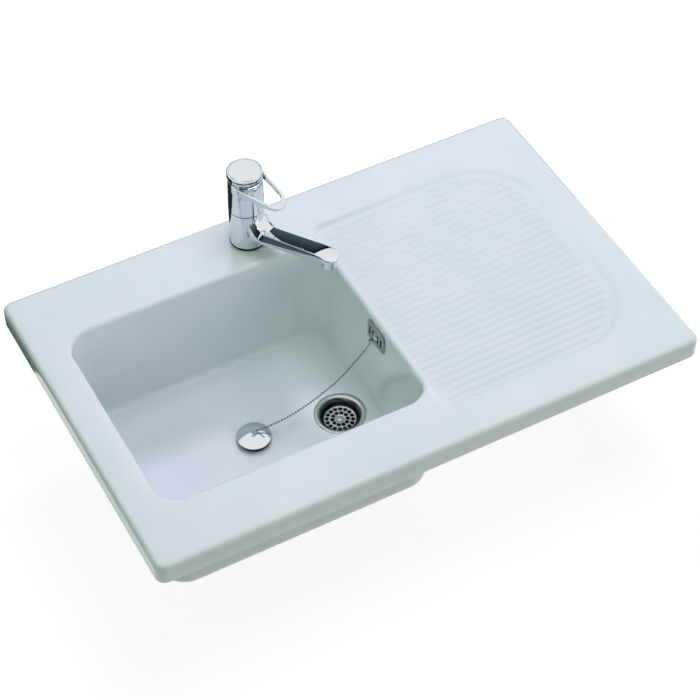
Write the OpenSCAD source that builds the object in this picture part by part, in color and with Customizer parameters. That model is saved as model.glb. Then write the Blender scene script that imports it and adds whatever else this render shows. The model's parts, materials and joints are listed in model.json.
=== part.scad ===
// Stoneware kitchen sink: one bowl, a ribbed drainer on the right, a single-lever tap,
// a grid waste with an overflow, and a plug on a ball chain.
// z = 0 is the flat underside of the rim, where it rests on a worktop.
// x = 0 is the middle of the sink's length, y = 0 the middle of the front seat strip,
// +Y points to the back, where the tap stands.

/* [Slab] */
// Length of the sink, left to right
sink_l = 900; // [880:5:960]
// Width of the sink, front to back
sink_w = 570; // [560:2:600]
// Height of the rim above the worktop
rim_h = 36; // [32:1:42]
// Width of the flat strip that rests on the worktop
seat_w = 24; // [18:1:28]
// Corner radius of the slab in plan
corner_r = 16; // [12:1:30]
// Rounding of the slab's upper edge
edge_r = 9; // [5:0.5:11]
// Thickness of the deck
deck_t = 20; // [18:1:23]

/* [Bowl] */
// Length of the bowl's opening, left to right
bowl_l = 436; // [400:2:445]
// Deck to the left of the bowl
bowl_left = 56; // [50:1:62]
// Deck in front of the bowl
bowl_front = 99; // [92:1:104]
// Deck behind the bowl, where the tap stands
bowl_back = 112; // [108:1:130]
// Depth of the bowl at the foot of its walls
bowl_d = 196; // [175:1:215]
// Corner radius of the bowl in plan
bowl_r = 40; // [34:1:55]
// Lean of the bowl's walls from upright, in degrees
draft = 1.5; // [0.5:0.25:2.5]
// Rounding between the walls and the floor
floor_r = 15; // [10:1:18]
// Rounding of the bowl's upper edge
lip_r = 7; // [4:0.5:9]
// Thickness of the bowl's walls
wall_t = 13; // [11:0.5:16]
// Thickness of the bowl's floor
floor_t = 14; // [12:0.5:18]
// Fall of the floor from the foot of the walls to the waste
floor_fall = 2.5; // [1.5:0.5:4.5]

/* [Drainer] */
// Deck behind the drainer's recess
recess_back = 77; // [70:1:90]
// Deck in front of the recess
recess_front = 63; // [55:1:80]
// Deck to the right of the recess
recess_right = 50; // [40:1:70]
// Corner radius of the recess at its right end
recess_r = 110; // [70:5:130]
// Corner radius of the recess beside the bowl
recess_bowl_r = 22; // [15:1:30]
// Depth of the recess beside the bowl
recess_d = 9; // [7:0.5:10]
// Depth of the recess at its right end
recess_end_d = 2.5; // [2:0.5:5]
// Width of the slope round the recess
recess_slope = 12; // [8:1:16]
// Distance from one rib to the next
rib_pitch = 13.8; // [12:0.2:18]
// Width of a rib where it meets the floor
rib_w = 7; // [5:0.5:8]
// Height of a rib
rib_h = 1.8; // [1.2:0.1:2.2]
// Space between the bowl's edge and the ribs
rib_start = 10; // [8:1:20]
// Space between the ribs and the edge of the recess
rib_margin = 20; // [18:1:26]

/* [Waste] */
// Diameter of the waste's flange
waste_d = 82; // [78:1:88]
// Diameter of the hole in the bowl's floor
waste_hole_d = 62; // [60:1:64]
// Space between the flange and the wall's rounding
waste_gap = 1; // [0.5:0.5:10]
// Distance of the waste in front of the bowl's middle
waste_off = 2; // [0:1:15]
// Depth of the grid below the flange
grid_depth = 13.5; // [12:0.5:18]
// Diameter of the flat grid
grid_d = 50; // [48:0.5:51]
// Thickness of the pressed sheet
sheet_t = 1.2; // [1:0.1:1.4]
// Number of holes in the outer ring
grid_n_outer = 16; // [12:1:16]
// Number of holes in the inner ring
grid_n_inner = 10; // [6:1:10]
// Diameter of the grid's holes
grid_hole_d = 6.2; // [4:0.1:6.4]
// Outside diameter of the outlet thread, size 1 1/2
outlet_d = 47.8; // [45:0.1:49]
// Length of the outlet thread
outlet_l = 28; // [20:1:40]
// Outside diameter of the overflow pipe
pipe_d = 21; // [20:0.5:23]
// Wall of the overflow pipe
pipe_t = 2; // [1.5:0.25:2.25]

/* [Overflow] */
// Width of the overflow plate
plate_w = 50; // [46:1:56]
// Height of the overflow plate
plate_h = 37; // [34:1:42]
// Thickness of the overflow plate
plate_t = 2; // [1.5:0.25:3]
// Depth of the plate's middle below the deck
plate_drop = 40.5; // [36:0.5:50]
// Distance of the plate in front of the bowl's middle
plate_off = 10.5; // [0:0.5:20]
// Diameter of the hole behind the plate
overflow_hole_d = 24; // [22:0.5:25]

/* [Plug] */
// Diameter of the plug's cap
plug_d = 55; // [52:0.5:57]
// Diameter of the plug's rubber at its foot
plug_foot_d = 47; // [44:0.5:50]
// Height of the plug's rubber
plug_h = 9; // [7:0.5:11]
// Rise of the plug's domed cap
plug_dome = 6.5; // [5:0.5:8]
// Distance of the plug to the left of the waste
plug_left = 143; // [125:1:150]
// Distance of the plug behind the waste
plug_back = 16.5; // [0:0.5:30]
// Diameter of the ball chain
chain_d = 3.2; // [2.4:0.1:3.6]

/* [Tap] */
// Diameter of the hole in the deck
tap_hole_d = 35; // [34:0.5:36]
// Distance of the tap to the left of the bowl's right edge
tap_left = 96.5; // [90:0.5:110]
// Diameter of the tap at its foot
tap_d = 56.4; // [55:0.2:58]
// Diameter of the tap under its cap
tap_top_d = 53.6; // [53:0.2:54.6]
// Height of the joint between the spout ring and the sleeve
joint_h = 72; // [70:1:85]
// Height of the top of the cap
tap_h = 148; // [144:0.5:160]
// Diameter of the cap
cap_d = 55.4; // [55:0.2:57]
// Direction of the spout, seen from above
spout_az = -67.5; // [-110:0.5:-50]
// Direction of the lever, seen from above
lever_az = -58; // [-110:0.5:-45]
// Distance from the tap's axis to the aerator's
spout_reach = 165; // [140:1:190]
// Half width of the spout at the body
spout_root_w = 20; // [18:0.5:21]
// Half width of the spout at its tip
spout_tip_w = 15; // [14:0.5:17]
// Height of the spout's top beside the body
spout_root_h = 40; // [36:0.5:50]
// Height of the spout's top at its tip
spout_tip_h = 75; // [70:0.5:85]
// Thickness of the spout
spout_t = 16; // [14:0.5:18]
// Diameter of the aerator
aerator_d = 24; // [23:0.5:26]
// Reach of the lever's loop
lever_reach = 69; // [64:1:80]
// Slope of the lever's loop
lever_slope = 25; // [20:0.5:30]
// Height of the loop's arms beside the cap
lever_root_t = 15; // [12:0.5:16]
// Height of the loop at its tip
lever_tip_t = 4; // [3:0.5:8]
// Length of the copper tails below the deck
tail_l = 280; // [200:5:300]
// Diameter of the copper tails' sized ends
tail_d = 10; // [8:0.5:10]

/* [Hidden] */
$fn = 64;

// Clearances
press = 0.02; // between pieces of one body that are pressed or screwed together
run = 0.05; // radial clearance of a running fit
lay = 0.3; // between soft or resting pieces of different bodies
eps = 0.01; // overshoot of a cut
arc_n = 8; // steps in a quarter circle of a lofted outline
hull_fn = 32;

// Slab and bowl, as places
x_left = -sink_l / 2;
x_right = sink_l / 2;
y_front = -seat_w / 2;
y_back = y_front + sink_w;
deck_z = rim_h - deck_t;
bowl_x0 = x_left + bowl_left;
bowl_x1 = bowl_x0 + bowl_l;
bowl_y0 = y_front + bowl_front;
bowl_y1 = y_back - bowl_back;
bowl_yc = (bowl_y0 + bowl_y1) / 2;
foot_z = rim_h - bowl_d;
lean = bowl_d * tan(draft); // how far a wall's foot stands inside its top

// Drainer, as places
recess_x0 = bowl_x1 - lip_r;
recess_x1 = x_right - recess_right;
recess_y0 = y_front + recess_front;
recess_y1 = y_back - recess_back;
recess_tilt = atan((recess_d - recess_end_d) / (recess_x1 - bowl_x1));
rib_r = (rib_w * rib_w / 4 + rib_h * rib_h) / (2 * rib_h);
rib_span = recess_y1 - recess_y0 - 2 * rib_margin;
rib_n = floor(rib_span / rib_pitch) + 1;
rib_y0 = (recess_y0 + recess_y1 - (rib_n - 1) * rib_pitch) / 2;

// Waste, as places
waste_x = bowl_x1 - lean - floor_r - waste_gap - waste_d / 2;
waste_y = bowl_yc - waste_off;
floor_z = foot_z - floor_fall;
seal_t = 1.5;
flange_t = 1.5;
waste_seat_z = floor_z - 2;
flange_z = waste_seat_z + seal_t + flange_t;
cup_r = waste_hole_d / 2 - 1.1;
funnel_r = waste_d / 2 - 5;
hole_cone_h = 6;
boss_t = 12;
boss_z = waste_seat_z - boss_t;
boss_r = waste_d / 2 + 14;
grid_z = flange_z - grid_depth;
bottom_seal_t = 2;
body_z = boss_z - bottom_seal_t;
body_r = boss_r - 6;
body_flange_t = 5;
body_bore_r = waste_hole_d / 2 + 1;
body_wall = 3;
chamber_z = body_z - 34;
neck_z = chamber_z - 8;
outlet_z = neck_z - outlet_l;
outlet_bore_r = outlet_d / 2 - 4;
hub_r = 8;
hub_h = 12;
hub_z = body_z - 28;
insert_r = 5;
screw_r = 3;
screw_head_r = 5.8;
screw_head_h = 2.4;
dish_r = 7;

// Overflow, as places: local X points out of the bowl through the right wall
overflow_y = bowl_yc - plate_off;
overflow_z = rim_h - plate_drop;
overflow_x = bowl_x1 - plate_drop * tan(draft);
front_seal_t = 1;
back_seal_t = 2;
plate_corner = 5;
elbow_r = overflow_hole_d / 2 + 3;
elbow_flange_t = 4;
elbow_len = elbow_flange_t + pipe_d / 2 + 8;
pipe_r = pipe_d / 2;
spigot_r = pipe_r - pipe_t - press;
nut_r = pipe_r + 4;
pipe_x = overflow_x + wall_t / cos(draft) + back_seal_t + elbow_flange_t + pipe_r + 5;
branch_z = body_z - body_flange_t - nut_r - 1;
bend_r = pipe_r + 9;
branch_r = body_bore_r + body_wall;
pipe_run = norm([pipe_x - waste_x, overflow_y - waste_y]);
pipe_az = atan2(overflow_y - waste_y, pipe_x - waste_x);
spigot_l = 16;
nut_h = 12;
elbow_spigot_z = overflow_z - pipe_r - 5 - spigot_l;
overflow_bolt_r = 2.5;
slot_w = 4;
slot_h = 15;
slot_first = 7;
slot_pitch = 10;
eye_r = 3;
eye_hole_r = 1.4;
eye_y = 11;
eye_out = 2.5;
lug_t = 1.5;
ring_r = 4;
ring_wire_r = 0.8;
ring_out = front_seal_t + plate_t + eye_out;
ring_drop = plate_h / 2 - eye_r + ring_r;
ring_low = [overflow_x - ring_out * cos(draft) - (ring_drop + ring_r) * sin(draft),
    overflow_y + eye_y,
    overflow_z + ring_out * sin(draft) - (ring_drop + ring_r) * cos(draft)];

// Plug and chain, as places
plug_x = waste_x - plug_left;
plug_y = waste_y + plug_back;
plug_reach = norm([plug_left, plug_back]) + plug_foot_d / 2;
floor_reach = waste_x - (bowl_x0 + lean + floor_r);
plug_z = floor_z + floor_fall * plug_reach / floor_reach + lay;
cap_z = plug_z + plug_h;
eyelet_r = 3.6;
eyelet_wire_r = 0.9;
eyelet_z = cap_z + plug_dome + eyelet_r + eyelet_wire_r + 1;
chain_route = [
    [28, 267, -38], [21, 268, -46], [14, 268, -54], [6, 269, -62], [-1, 269, -70],
    [-8, 270, -78], [-16, 271, -86], [-25, 271, -93], [-35, 272, -100], [-45, 273, -106],
    [-55, 273, -112], [-66, 274, -118], [-78, 275, -124], [-91, 276, -130],
    [-105, 277, -135], [-118, 278, -138], [-130, 279, -140], [-140, 279, -141],
    [-150, 280, -142], [-158, 281, -142]];
chain_sides = 8;
// The route was laid from this ring to this eyelet, and its ends follow them
route_ring = [35, 267, -28];
route_eyelet = [-163, 281, -140];
chain_last = len(chain_route) - 1;
chain_line = [for (i = [0:chain_last]) let (s = i / chain_last)
    chain_route[i] + (1 - s) * (ring_low - route_ring)
        + s * ([plug_x, plug_y, eyelet_z] - route_eyelet)];

// Tap, as places: its modules stand on the deck with the axis at the origin
tap_x = bowl_x1 - tap_left;
tap_y = (bowl_y1 + y_back) / 2;
seat_seal_t = 2;
base_h = 7;
column_r = 15;
foot_r = 20;
bore_r = 20;
bush_h = 8;
ring_z = base_h + 0.4;
gap_h = 0.8;
head_z = joint_h + gap_h;
head_r = tap_top_d / 2 - 3.6;
head_bore_r = head_r - 2.8;
head_floor = 4;
pivot_z = tap_h - 33.6;
skirt_z = pivot_z + 20;
loop_rise = 2;
sleeve_top = skirt_z - 1;
sleeve_chamfer = 2;
housing_top = pivot_z - 3;
cartridge_z = head_z + head_floor;
cartridge_top = pivot_z - 9;
rotor_r = 13.5;
rotor_z = cartridge_top - 14;
disc_h = 4;
rotor_neck_r = 9;
rotor_top = pivot_z + 5;
pin_r = 2;
stem_w = 7.6;
stem_z = pivot_z - 14;
stem_top = pivot_z + 24;
hub_bore_w = stem_w + 2 * press;
lever_hub_r = 8.5;
lever_hub_z = pivot_z + 8;
cap_wall = 2.2;
cavity_h = 8.2;
insert_recess = 2;
insert_lip = 3;
grub_r = 2.5;
grub_l = 4;
grub_z = pivot_z + 14;
tail_x = 7.5;
tail_y = -4.5;
tail_run_r = tail_d / 2 - 0.25;
tail_end_l = 35;
tail_in = 12; // how far the tails and the stud reach into the column
stud_y = 10;
stud_r = 4;
stud_l = 90;
water_r = 3.5;
under_z = -deck_t;
fix_gasket_t = 3;
fix_plate_t = 3;
fix_nut_h = 7;
fix_r = 23;
fair_l = 26;
fair_x = tap_d / 2 - 6;
fair_h = joint_h - spout_root_h - 3;
spout_tip_r = spout_tip_w;
aerator_r = aerator_d / 2;
aerator_bore_r = aerator_r - 2.6;
aerator_h = 11;
aerator_neck_h = 6;
tip_under = spout_tip_h - spout_t;

// Lofted outlines
function quarter(cx, cy, r, from) =
    [for (i = [0:arc_n]) [cx + r * cos(from + 90 * i / arc_n), cy + r * sin(from + 90 * i / arc_n)]];
function outline(x0, y0, x1, y1, r_left, r_right) = concat(
    quarter(x1 - r_right, y1 - r_right, r_right, 0),
    quarter(x0 + r_left, y1 - r_left, r_left, 90),
    quarter(x0 + r_left, y0 + r_left, r_left, 180),
    quarter(x1 - r_right, y0 + r_right, r_right, 270));
function at_height(points, z) = [for (p = points) [p[0], p[1], z]];
function slab_ring(inset, z) = at_height(
    outline(x_left + inset, y_front + inset, x_right - inset, y_back - inset,
        corner_r - inset, corner_r - inset), z);
function bowl_ring(inset, r, z) = at_height(
    outline(bowl_x0 + inset, bowl_y0 + inset, bowl_x1 - inset, bowl_y1 - inset, r, r), z);
function shell_ring(z) = bowl_ring((rim_h - z) * tan(draft) - wall_t / cos(draft),
    bowl_r + wall_t / 2, z);
function recess_depth(x) =
    recess_d - (recess_d - recess_end_d) * (x - bowl_x1) / (recess_x1 - bowl_x1);
function recess_ring(inset, share) = [
    for (p = outline(recess_x0 + inset, recess_y0 + inset, recess_x1 - inset,
            recess_y1 - inset, recess_bowl_r - inset, recess_r - inset))
        [p[0], p[1], rim_h - share * recess_depth(p[0])]];

// A closed solid through rings of points, lowest ring first, with flat ends
module loft(rings) {
    n = len(rings[0]);
    last = len(rings) - 1;
    polyhedron(
        points = [for (ring = rings) each ring],
        faces = concat(
            [[for (i = [0:n - 1]) i]],
            [[for (i = [n - 1:-1:0]) last * n + i]],
            [for (k = [0:last - 1]) for (i = [0:n - 1]) let (j = (i + 1) % n)
                each [[k * n + i, (k + 1) * n + i, (k + 1) * n + j],
                    [k * n + i, (k + 1) * n + j, k * n + j]]]),
        convexity = 6);
}

// The same, with a lowest end that falls to one point
module loft_to_point(rings, tip) {
    n = len(rings[0]);
    last = len(rings) - 1;
    polyhedron(
        points = concat([for (ring = rings) each ring], [tip]),
        faces = concat(
            [for (i = [0:n - 1]) [(last + 1) * n, i, (i + 1) % n]],
            [[for (i = [n - 1:-1:0]) last * n + i]],
            [for (k = [0:last - 1]) for (i = [0:n - 1]) let (j = (i + 1) % n)
                each [[k * n + i, (k + 1) * n + i, (k + 1) * n + j],
                    [k * n + i, (k + 1) * n + j, k * n + j]]]),
        convexity = 6);
}

module tube(r_out, r_in, h) {
    difference() {
        cylinder(r = r_out, h = h);
        translate([0, 0, -1]) cylinder(r = r_in, h = h + 2);
    }
}

module rounded_plate(w, h, r) {
    offset(r = r) square([w - 2 * r, h - 2 * r], center = true);
}

// Ceramic
module slab() {
    chamfer = 1.5;
    steps = 5;
    loft(concat(
        [slab_ring(chamfer, 0), slab_ring(0, chamfer)],
        [for (i = [0:steps]) slab_ring(edge_r * (1 - cos(90 * i / steps)),
            rim_h - edge_r + edge_r * sin(90 * i / steps))]));
}

module underside_hollow() {
    taper = 3;
    r = corner_r;
    loft([
        at_height(outline(x_left + seat_w, y_front + seat_w, x_right - seat_w,
            y_back - seat_w, r, r), -1),
        at_height(outline(x_left + seat_w + taper, y_front + seat_w + taper,
            x_right - seat_w - taper, y_back - seat_w - taper, r, r), deck_z)]);
}

module bowl_shell() {
    loft([
        bowl_ring(lean + floor_r / 2 - wall_t, bowl_r - floor_r / 2, foot_z - floor_t),
        shell_ring(foot_z - floor_t + floor_r),
        shell_ring(rim_h - deck_t / 2)]);
}

module bowl_cavity() {
    steps = 5;
    loft_to_point(concat(
        [for (i = [0:steps]) let (a = 90 * i / steps)
            bowl_ring(lean + floor_r * (1 - sin(a)), bowl_r - floor_r * (1 - sin(a)),
                foot_z + floor_r * (1 - cos(a)))],
        [for (i = [0:steps]) let (a = 90 * i / steps)
            bowl_ring(-lip_r * (1 - cos(a)), bowl_r + lip_r * (1 - cos(a)),
                rim_h - lip_r + lip_r * sin(a) + (i == steps ? eps : 0))],
        [bowl_ring(-lip_r, bowl_r + lip_r, rim_h + 1)]),
        [waste_x, waste_y, floor_z]);
}

module drainer_recess() {
    steps = 4;
    loft(concat(
        [for (i = [0:steps]) recess_ring(recess_slope * (1 - i / steps),
            (1 + cos(180 * i / steps)) / 2 - (i == steps ? 0.002 : 0))],
        [at_height(outline(recess_x0, recess_y0, recess_x1, recess_y1,
            recess_bowl_r, recess_r), rim_h + 1)]));
}

// The drainer's low edge rolls over into the bowl
module spill_edge() {
    z = rim_h - recess_depth(bowl_x1);
    from = bowl_y0 + bowl_r;
    translate([bowl_x1 - 1, bowl_y1 - bowl_r, z])
        rotate([90, 0, 0])
            linear_extrude(bowl_y1 - bowl_r - from)
                difference() {
                    translate([0, -lip_r]) square([lip_r + 1, lip_r + 2]);
                    translate([lip_r + 1, -lip_r]) circle(r = lip_r);
                }
}

module drainer_ribs() {
    r_end = recess_r - rib_margin;
    half = (recess_y1 - recess_y0) / 2 - rib_margin;
    mid = (recess_y0 + recess_y1) / 2;
    x0 = bowl_x1 + rib_start;
    for (i = [0:rib_n - 1]) {
        y = rib_y0 + i * rib_pitch;
        past = max(0, abs(y - mid) - (half - r_end));
        x1 = recess_x1 - rib_margin - r_end + sqrt(max(0, r_end * r_end - past * past));
        z = rim_h - recess_depth(x0) - (rib_r - rib_h) / cos(recess_tilt);
        translate([x0, y, z])
            rotate([0, 90 - recess_tilt, 0])
                cylinder(r = rib_r, h = (x1 - x0) / cos(recess_tilt), $fn = 24);
    }
}

module waste_hole() {
    translate([waste_x, waste_y, boss_z - 1]) cylinder(r = waste_hole_d / 2, h = boss_t + 8);
    translate([waste_x, waste_y, waste_seat_z - hole_cone_h])
        cylinder(r1 = waste_hole_d / 2, r2 = funnel_r + 0.8, h = hole_cone_h + eps);
    translate([waste_x, waste_y, waste_seat_z]) cylinder(r = waste_d / 2 + 0.8, h = floor_fall + 4);
}

module overflow_hole() {
    translate([overflow_x, overflow_y, overflow_z])
        rotate([0, 90 + draft, 0])
            translate([0, 0, -wall_t]) cylinder(r = overflow_hole_d / 2, h = 3 * wall_t);
}

module sink_body() {
    color("#e3e7ef")
        union() {
            difference() {
                union() {
                    difference() {
                        slab();
                        underside_hollow();
                    }
                    bowl_shell();
                    translate([waste_x, waste_y, boss_z])
                        cylinder(r = boss_r, h = foot_z - boss_z - floor_t + 4);
                }
                bowl_cavity();
                drainer_recess();
                spill_edge();
                waste_hole();
                overflow_hole();
                translate([tap_x, tap_y, deck_z - 1]) cylinder(r = tap_hole_d / 2, h = deck_t + 2);
            }
            drainer_ribs();
        }
}

// Waste
module at_waste(z) {
    translate([waste_x, waste_y, z]) children();
}

module waste_strainer() {
    grid_r = grid_d / 2;
    inner = cup_r - sheet_t;
    color("#c9cccf")
        at_waste(flange_z)
            difference() {
                rotate_extrude()
                    polygon([[0, -grid_depth - sheet_t], [grid_r, -grid_depth - sheet_t],
                        [cup_r, -grid_depth + 2.5], [cup_r, -7], [funnel_r - 1, -flange_t],
                        [waste_d / 2, -flange_t], [waste_d / 2, -0.6], [waste_d / 2 - 0.8, 0],
                        [funnel_r, 0], [funnel_r - 2, -0.8], [inner, -6.6],
                        [inner, -grid_depth + 2.7], [grid_r - 0.6, -grid_depth],
                        [dish_r + 1, -grid_depth], [dish_r, -grid_depth - 0.6],
                        [0, -grid_depth - 0.6]]);
                for (i = [0:grid_n_outer - 1])
                    rotate([0, 0, 360 * i / grid_n_outer])
                        translate([grid_r - grid_hole_d / 2 - 1, 0, -grid_depth - 4])
                            cylinder(r = grid_hole_d / 2, h = 8, $fn = 24);
                for (i = [0:grid_n_inner - 1])
                    rotate([0, 0, 360 * i / grid_n_inner + 8])
                        translate([dish_r + grid_hole_d / 2 + 2.3, 0, -grid_depth - 4])
                            cylinder(r = grid_hole_d / 2, h = 8, $fn = 24);
                translate([0, 0, -grid_depth - 4]) cylinder(r = screw_r + 0.2, h = 8);
            }
}

module waste_top_seal() {
    color("#1d1f20")
        at_waste(waste_seat_z)
            tube(waste_d / 2, funnel_r + 1, seal_t - press);
}

module waste_bottom_seal() {
    color("#1d1f20")
        at_waste(body_z)
            tube(body_r - 1, body_bore_r, bottom_seal_t);
}

module waste_body() {
    wall_r = body_bore_r + body_wall;
    color("#eceeee")
        at_waste(0)
            difference() {
                union() {
                    translate([0, 0, body_z - body_flange_t]) cylinder(r = body_r, h = body_flange_t);
                    translate([0, 0, chamber_z]) cylinder(r = wall_r, h = body_z - chamber_z - 1);
                    translate([0, 0, neck_z])
                        cylinder(r1 = outlet_d / 2, r2 = wall_r, h = chamber_z - neck_z);
                    translate([0, 0, outlet_z]) cylinder(r = outlet_d / 2, h = outlet_l);
                    translate([0, 0, branch_z])
                        rotate([0, 90, pipe_az]) cylinder(r = spigot_r, h = wall_r + spigot_l);
                }
                difference() {
                    translate([0, 0, chamber_z]) cylinder(r = body_bore_r, h = body_z - chamber_z + 1);
                    translate([0, 0, hub_z]) cylinder(r = hub_r, h = hub_h);
                    for (a = [60, 180, 300])
                        rotate([0, 0, a])
                            translate([0, -2, hub_z]) cube([body_bore_r + 1, 4, hub_h - 2]);
                }
                translate([0, 0, neck_z - eps])
                    cylinder(r1 = outlet_bore_r, r2 = body_bore_r, h = chamber_z - neck_z + 2 * eps);
                translate([0, 0, outlet_z - 1]) cylinder(r = outlet_bore_r, h = outlet_l + 2);
                translate([0, 0, hub_z - 1]) cylinder(r = insert_r + press, h = hub_h + 2);
                rotate([0, 0, pipe_az])
                    translate([body_bore_r - 1, 0, branch_z])
                        rotate([0, 90, 0]) cylinder(r = spigot_r - 1.8, h = body_wall + spigot_l + 3);
            }
}

module waste_insert() {
    color("#b7995b")
        at_waste(hub_z)
            tube(insert_r, screw_r + press, hub_h);
}

module waste_screw() {
    top = grid_z - 0.6 + press;
    color("#b9bdc1")
        at_waste(0)
            difference() {
                union() {
                    translate([0, 0, top]) cylinder(r1 = screw_head_r, r2 = screw_head_r - 1, h = screw_head_h);
                    translate([0, 0, hub_z + 1]) cylinder(r = screw_r, h = top - hub_z - 0.5);
                }
                translate([-screw_head_r - 1, -0.7, top + 1])
                    cube([2 * screw_head_r + 2, 1.4, screw_head_h]);
            }
}

// Overflow: local Z points out of the bowl, through the leaning wall
module at_overflow() {
    translate([overflow_x, overflow_y, overflow_z])
        rotate([0, 90 + draft, 0])
            rotate([0, 0, 90]) children();
}

// In this frame X runs along the wall and Y is its height
module overflow_plate() {
    color("#c4c8cc")
        at_overflow()
            translate([0, 0, -front_seal_t - plate_t])
                difference() {
                    union() {
                        linear_extrude(plate_t) rounded_plate(plate_w, plate_h, plate_corner);
                        translate([eye_y - lug_t / 2, -plate_h / 2, -eye_out])
                            cube([lug_t, 2 * eye_r, eye_out + 1]);
                        translate([eye_y - lug_t / 2, eye_r - plate_h / 2, -eye_out])
                            rotate([0, 90, 0]) cylinder(r = eye_r, h = lug_t);
                    }
                    for (side = [-1, 1])
                        for (k = [0, 1])
                            translate([side * (slot_first + slot_pitch * k) - slot_w / 2, -slot_h / 2, -1])
                                cube([slot_w, slot_h, plate_t + 2]);
                    translate([0, 0, -1]) cylinder(r = overflow_bolt_r + 0.2, h = plate_t + 2);
                    translate([eye_y - lug_t / 2 - 1, eye_r - plate_h / 2, -eye_out])
                        rotate([0, 90, 0]) cylinder(r = eye_hole_r, h = lug_t + 2, $fn = 24);
                }
}

module overflow_screw() {
    head_r = 6;
    head_h = 3.2;
    ball_r = (head_r * head_r + head_h * head_h) / (2 * head_h);
    head_top = -front_seal_t - plate_t - press;
    color("#cfd3d6")
        at_overflow()
            union() {
                intersection() {
                    translate([0, 0, head_top - head_h + ball_r]) sphere(r = ball_r);
                    translate([0, 0, head_top - 5]) cylinder(r = 8, h = 5);
                }
                translate([0, 0, head_top - 0.5])
                    cylinder(r = overflow_bolt_r, h = wall_t + back_seal_t + elbow_flange_t + 5);
            }
}

module overflow_front_seal() {
    color("#1d1f20")
        at_overflow()
            translate([0, 0, -front_seal_t])
                tube(overflow_hole_d / 2 + 2, overflow_hole_d / 2, front_seal_t - press);
}

module overflow_back_seal() {
    color("#1d1f20")
        at_overflow()
            translate([0, 0, wall_t + press])
                tube(elbow_r, overflow_hole_d / 2, back_seal_t - 2 * press);
}

module overflow_elbow() {
    flange_at = wall_t + back_seal_t;
    color("#eceeee")
        difference() {
            union() {
                at_overflow() {
                    translate([0, 0, flange_at]) cylinder(r = elbow_r, h = elbow_flange_t);
                    translate([0, 0, flange_at]) cylinder(r = elbow_r - 3, h = elbow_len + 3);
                }
                translate([pipe_x, overflow_y, elbow_spigot_z + spigot_l - eps])
                    cylinder(r = pipe_r + 1, h = overflow_z - elbow_spigot_z - spigot_l);
                translate([pipe_x, overflow_y, elbow_spigot_z]) cylinder(r = spigot_r, h = spigot_l + 2);
            }
            difference() {
                at_overflow()
                    translate([0, 0, flange_at - 1]) cylinder(r = elbow_r - 5, h = elbow_len + 1);
                at_overflow()
                    translate([0, 0, flange_at - 2]) cylinder(r = overflow_bolt_r + 2.5, h = elbow_flange_t + 2);
                at_overflow()
                    translate([-overflow_hole_d, -1.5, flange_at]) cube([2 * overflow_hole_d, 3, elbow_flange_t]);
            }
            at_overflow()
                translate([0, 0, flange_at - 3]) cylinder(r = overflow_bolt_r + press, h = elbow_flange_t + 4);
            translate([pipe_x, overflow_y, elbow_spigot_z - 1])
                cylinder(r = spigot_r - 1.8, h = overflow_z - elbow_spigot_z);
        }
}

// The pipe and its nuts stand in a plane from the waste's axis to the elbow's
module at_pipe() {
    translate([waste_x, waste_y, 0]) rotate([0, 0, pipe_az]) children();
}

module pipe_bend(r) {
    translate([pipe_run - bend_r, 0, branch_z + bend_r])
        rotate([90, 0, 0])
            rotate_extrude(angle = -90) translate([bend_r, 0]) circle(r = r);
}

module overflow_pipe() {
    up_from = branch_z + bend_r;
    up_to = elbow_spigot_z + spigot_l - press;
    flat_from = branch_r + press;
    flat_l = pipe_run - bend_r - flat_from;
    inner = pipe_r - pipe_t;
    color("#dfe2e3")
        at_pipe()
            difference() {
                union() {
                    translate([pipe_run, 0, up_from - eps]) cylinder(r = pipe_r, h = up_to - up_from);
                    pipe_bend(pipe_r);
                    translate([flat_from, 0, branch_z])
                        rotate([0, 90, 0]) cylinder(r = pipe_r, h = flat_l + eps);
                }
                translate([pipe_run, 0, up_from - 2 * eps]) cylinder(r = inner, h = up_to - up_from + 1);
                pipe_bend(inner);
                translate([flat_from - 1, 0, branch_z])
                    rotate([0, 90, 0]) cylinder(r = inner, h = flat_l + 1 + 2 * eps);
            }
}

module overflow_pipe_nuts() {
    color("#f2f3f3")
        at_pipe() {
            translate([pipe_run, 0, elbow_spigot_z])
                tube(nut_r, pipe_r + press, nut_h);
            translate([branch_r + 2, 0, branch_z])
                rotate([0, 90, 0]) tube(nut_r, pipe_r + press, nut_h);
        }
}

// The wire ring hangs in the lug's eye, along the wall
module hook_ring() {
    color("#c4c8cc")
        at_overflow()
            translate([eye_y, -ring_drop, -ring_out])
                rotate_extrude() translate([ring_r, 0]) circle(r = ring_wire_r, $fn = 24);
}

// The clasp runs from the chain's first point to the ring
module chain_clasp() {
    a = chain_line[0];
    d = (ring_low - a) / norm(ring_low - a);
    clasp_r = 1.7;
    gap = 0.4;
    color("#c4c8cc")
        translate(a + gap * d)
            rotate([0, acos(d[2]), atan2(d[1], d[0])])
                cylinder(r = clasp_r, h = norm(ring_low - a) - ring_wire_r - 3 * gap, $fn = 24);
}

function chain_dir(i) = let (
    v = chain_line[min(chain_last, i + 1)] - chain_line[max(0, i - 1)]) v / norm(v);
function chain_ring(i) = let (
    d = chain_dir(i),
    side = cross(d, [0, 0, 1]) / norm(cross(d, [0, 0, 1])),
    up = cross(side, d))
    [for (k = [0:chain_sides - 1]) chain_line[i]
        + chain_d / 2 * (cos(360 * k / chain_sides) * side + sin(360 * k / chain_sides) * up)];

module ball_chain() {
    color("#8d9396")
        loft([for (i = [chain_last:-1:0]) chain_ring(i)]);
}

// Plug
module at_plug(z) {
    translate([plug_x, plug_y, z]) children();
}

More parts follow.
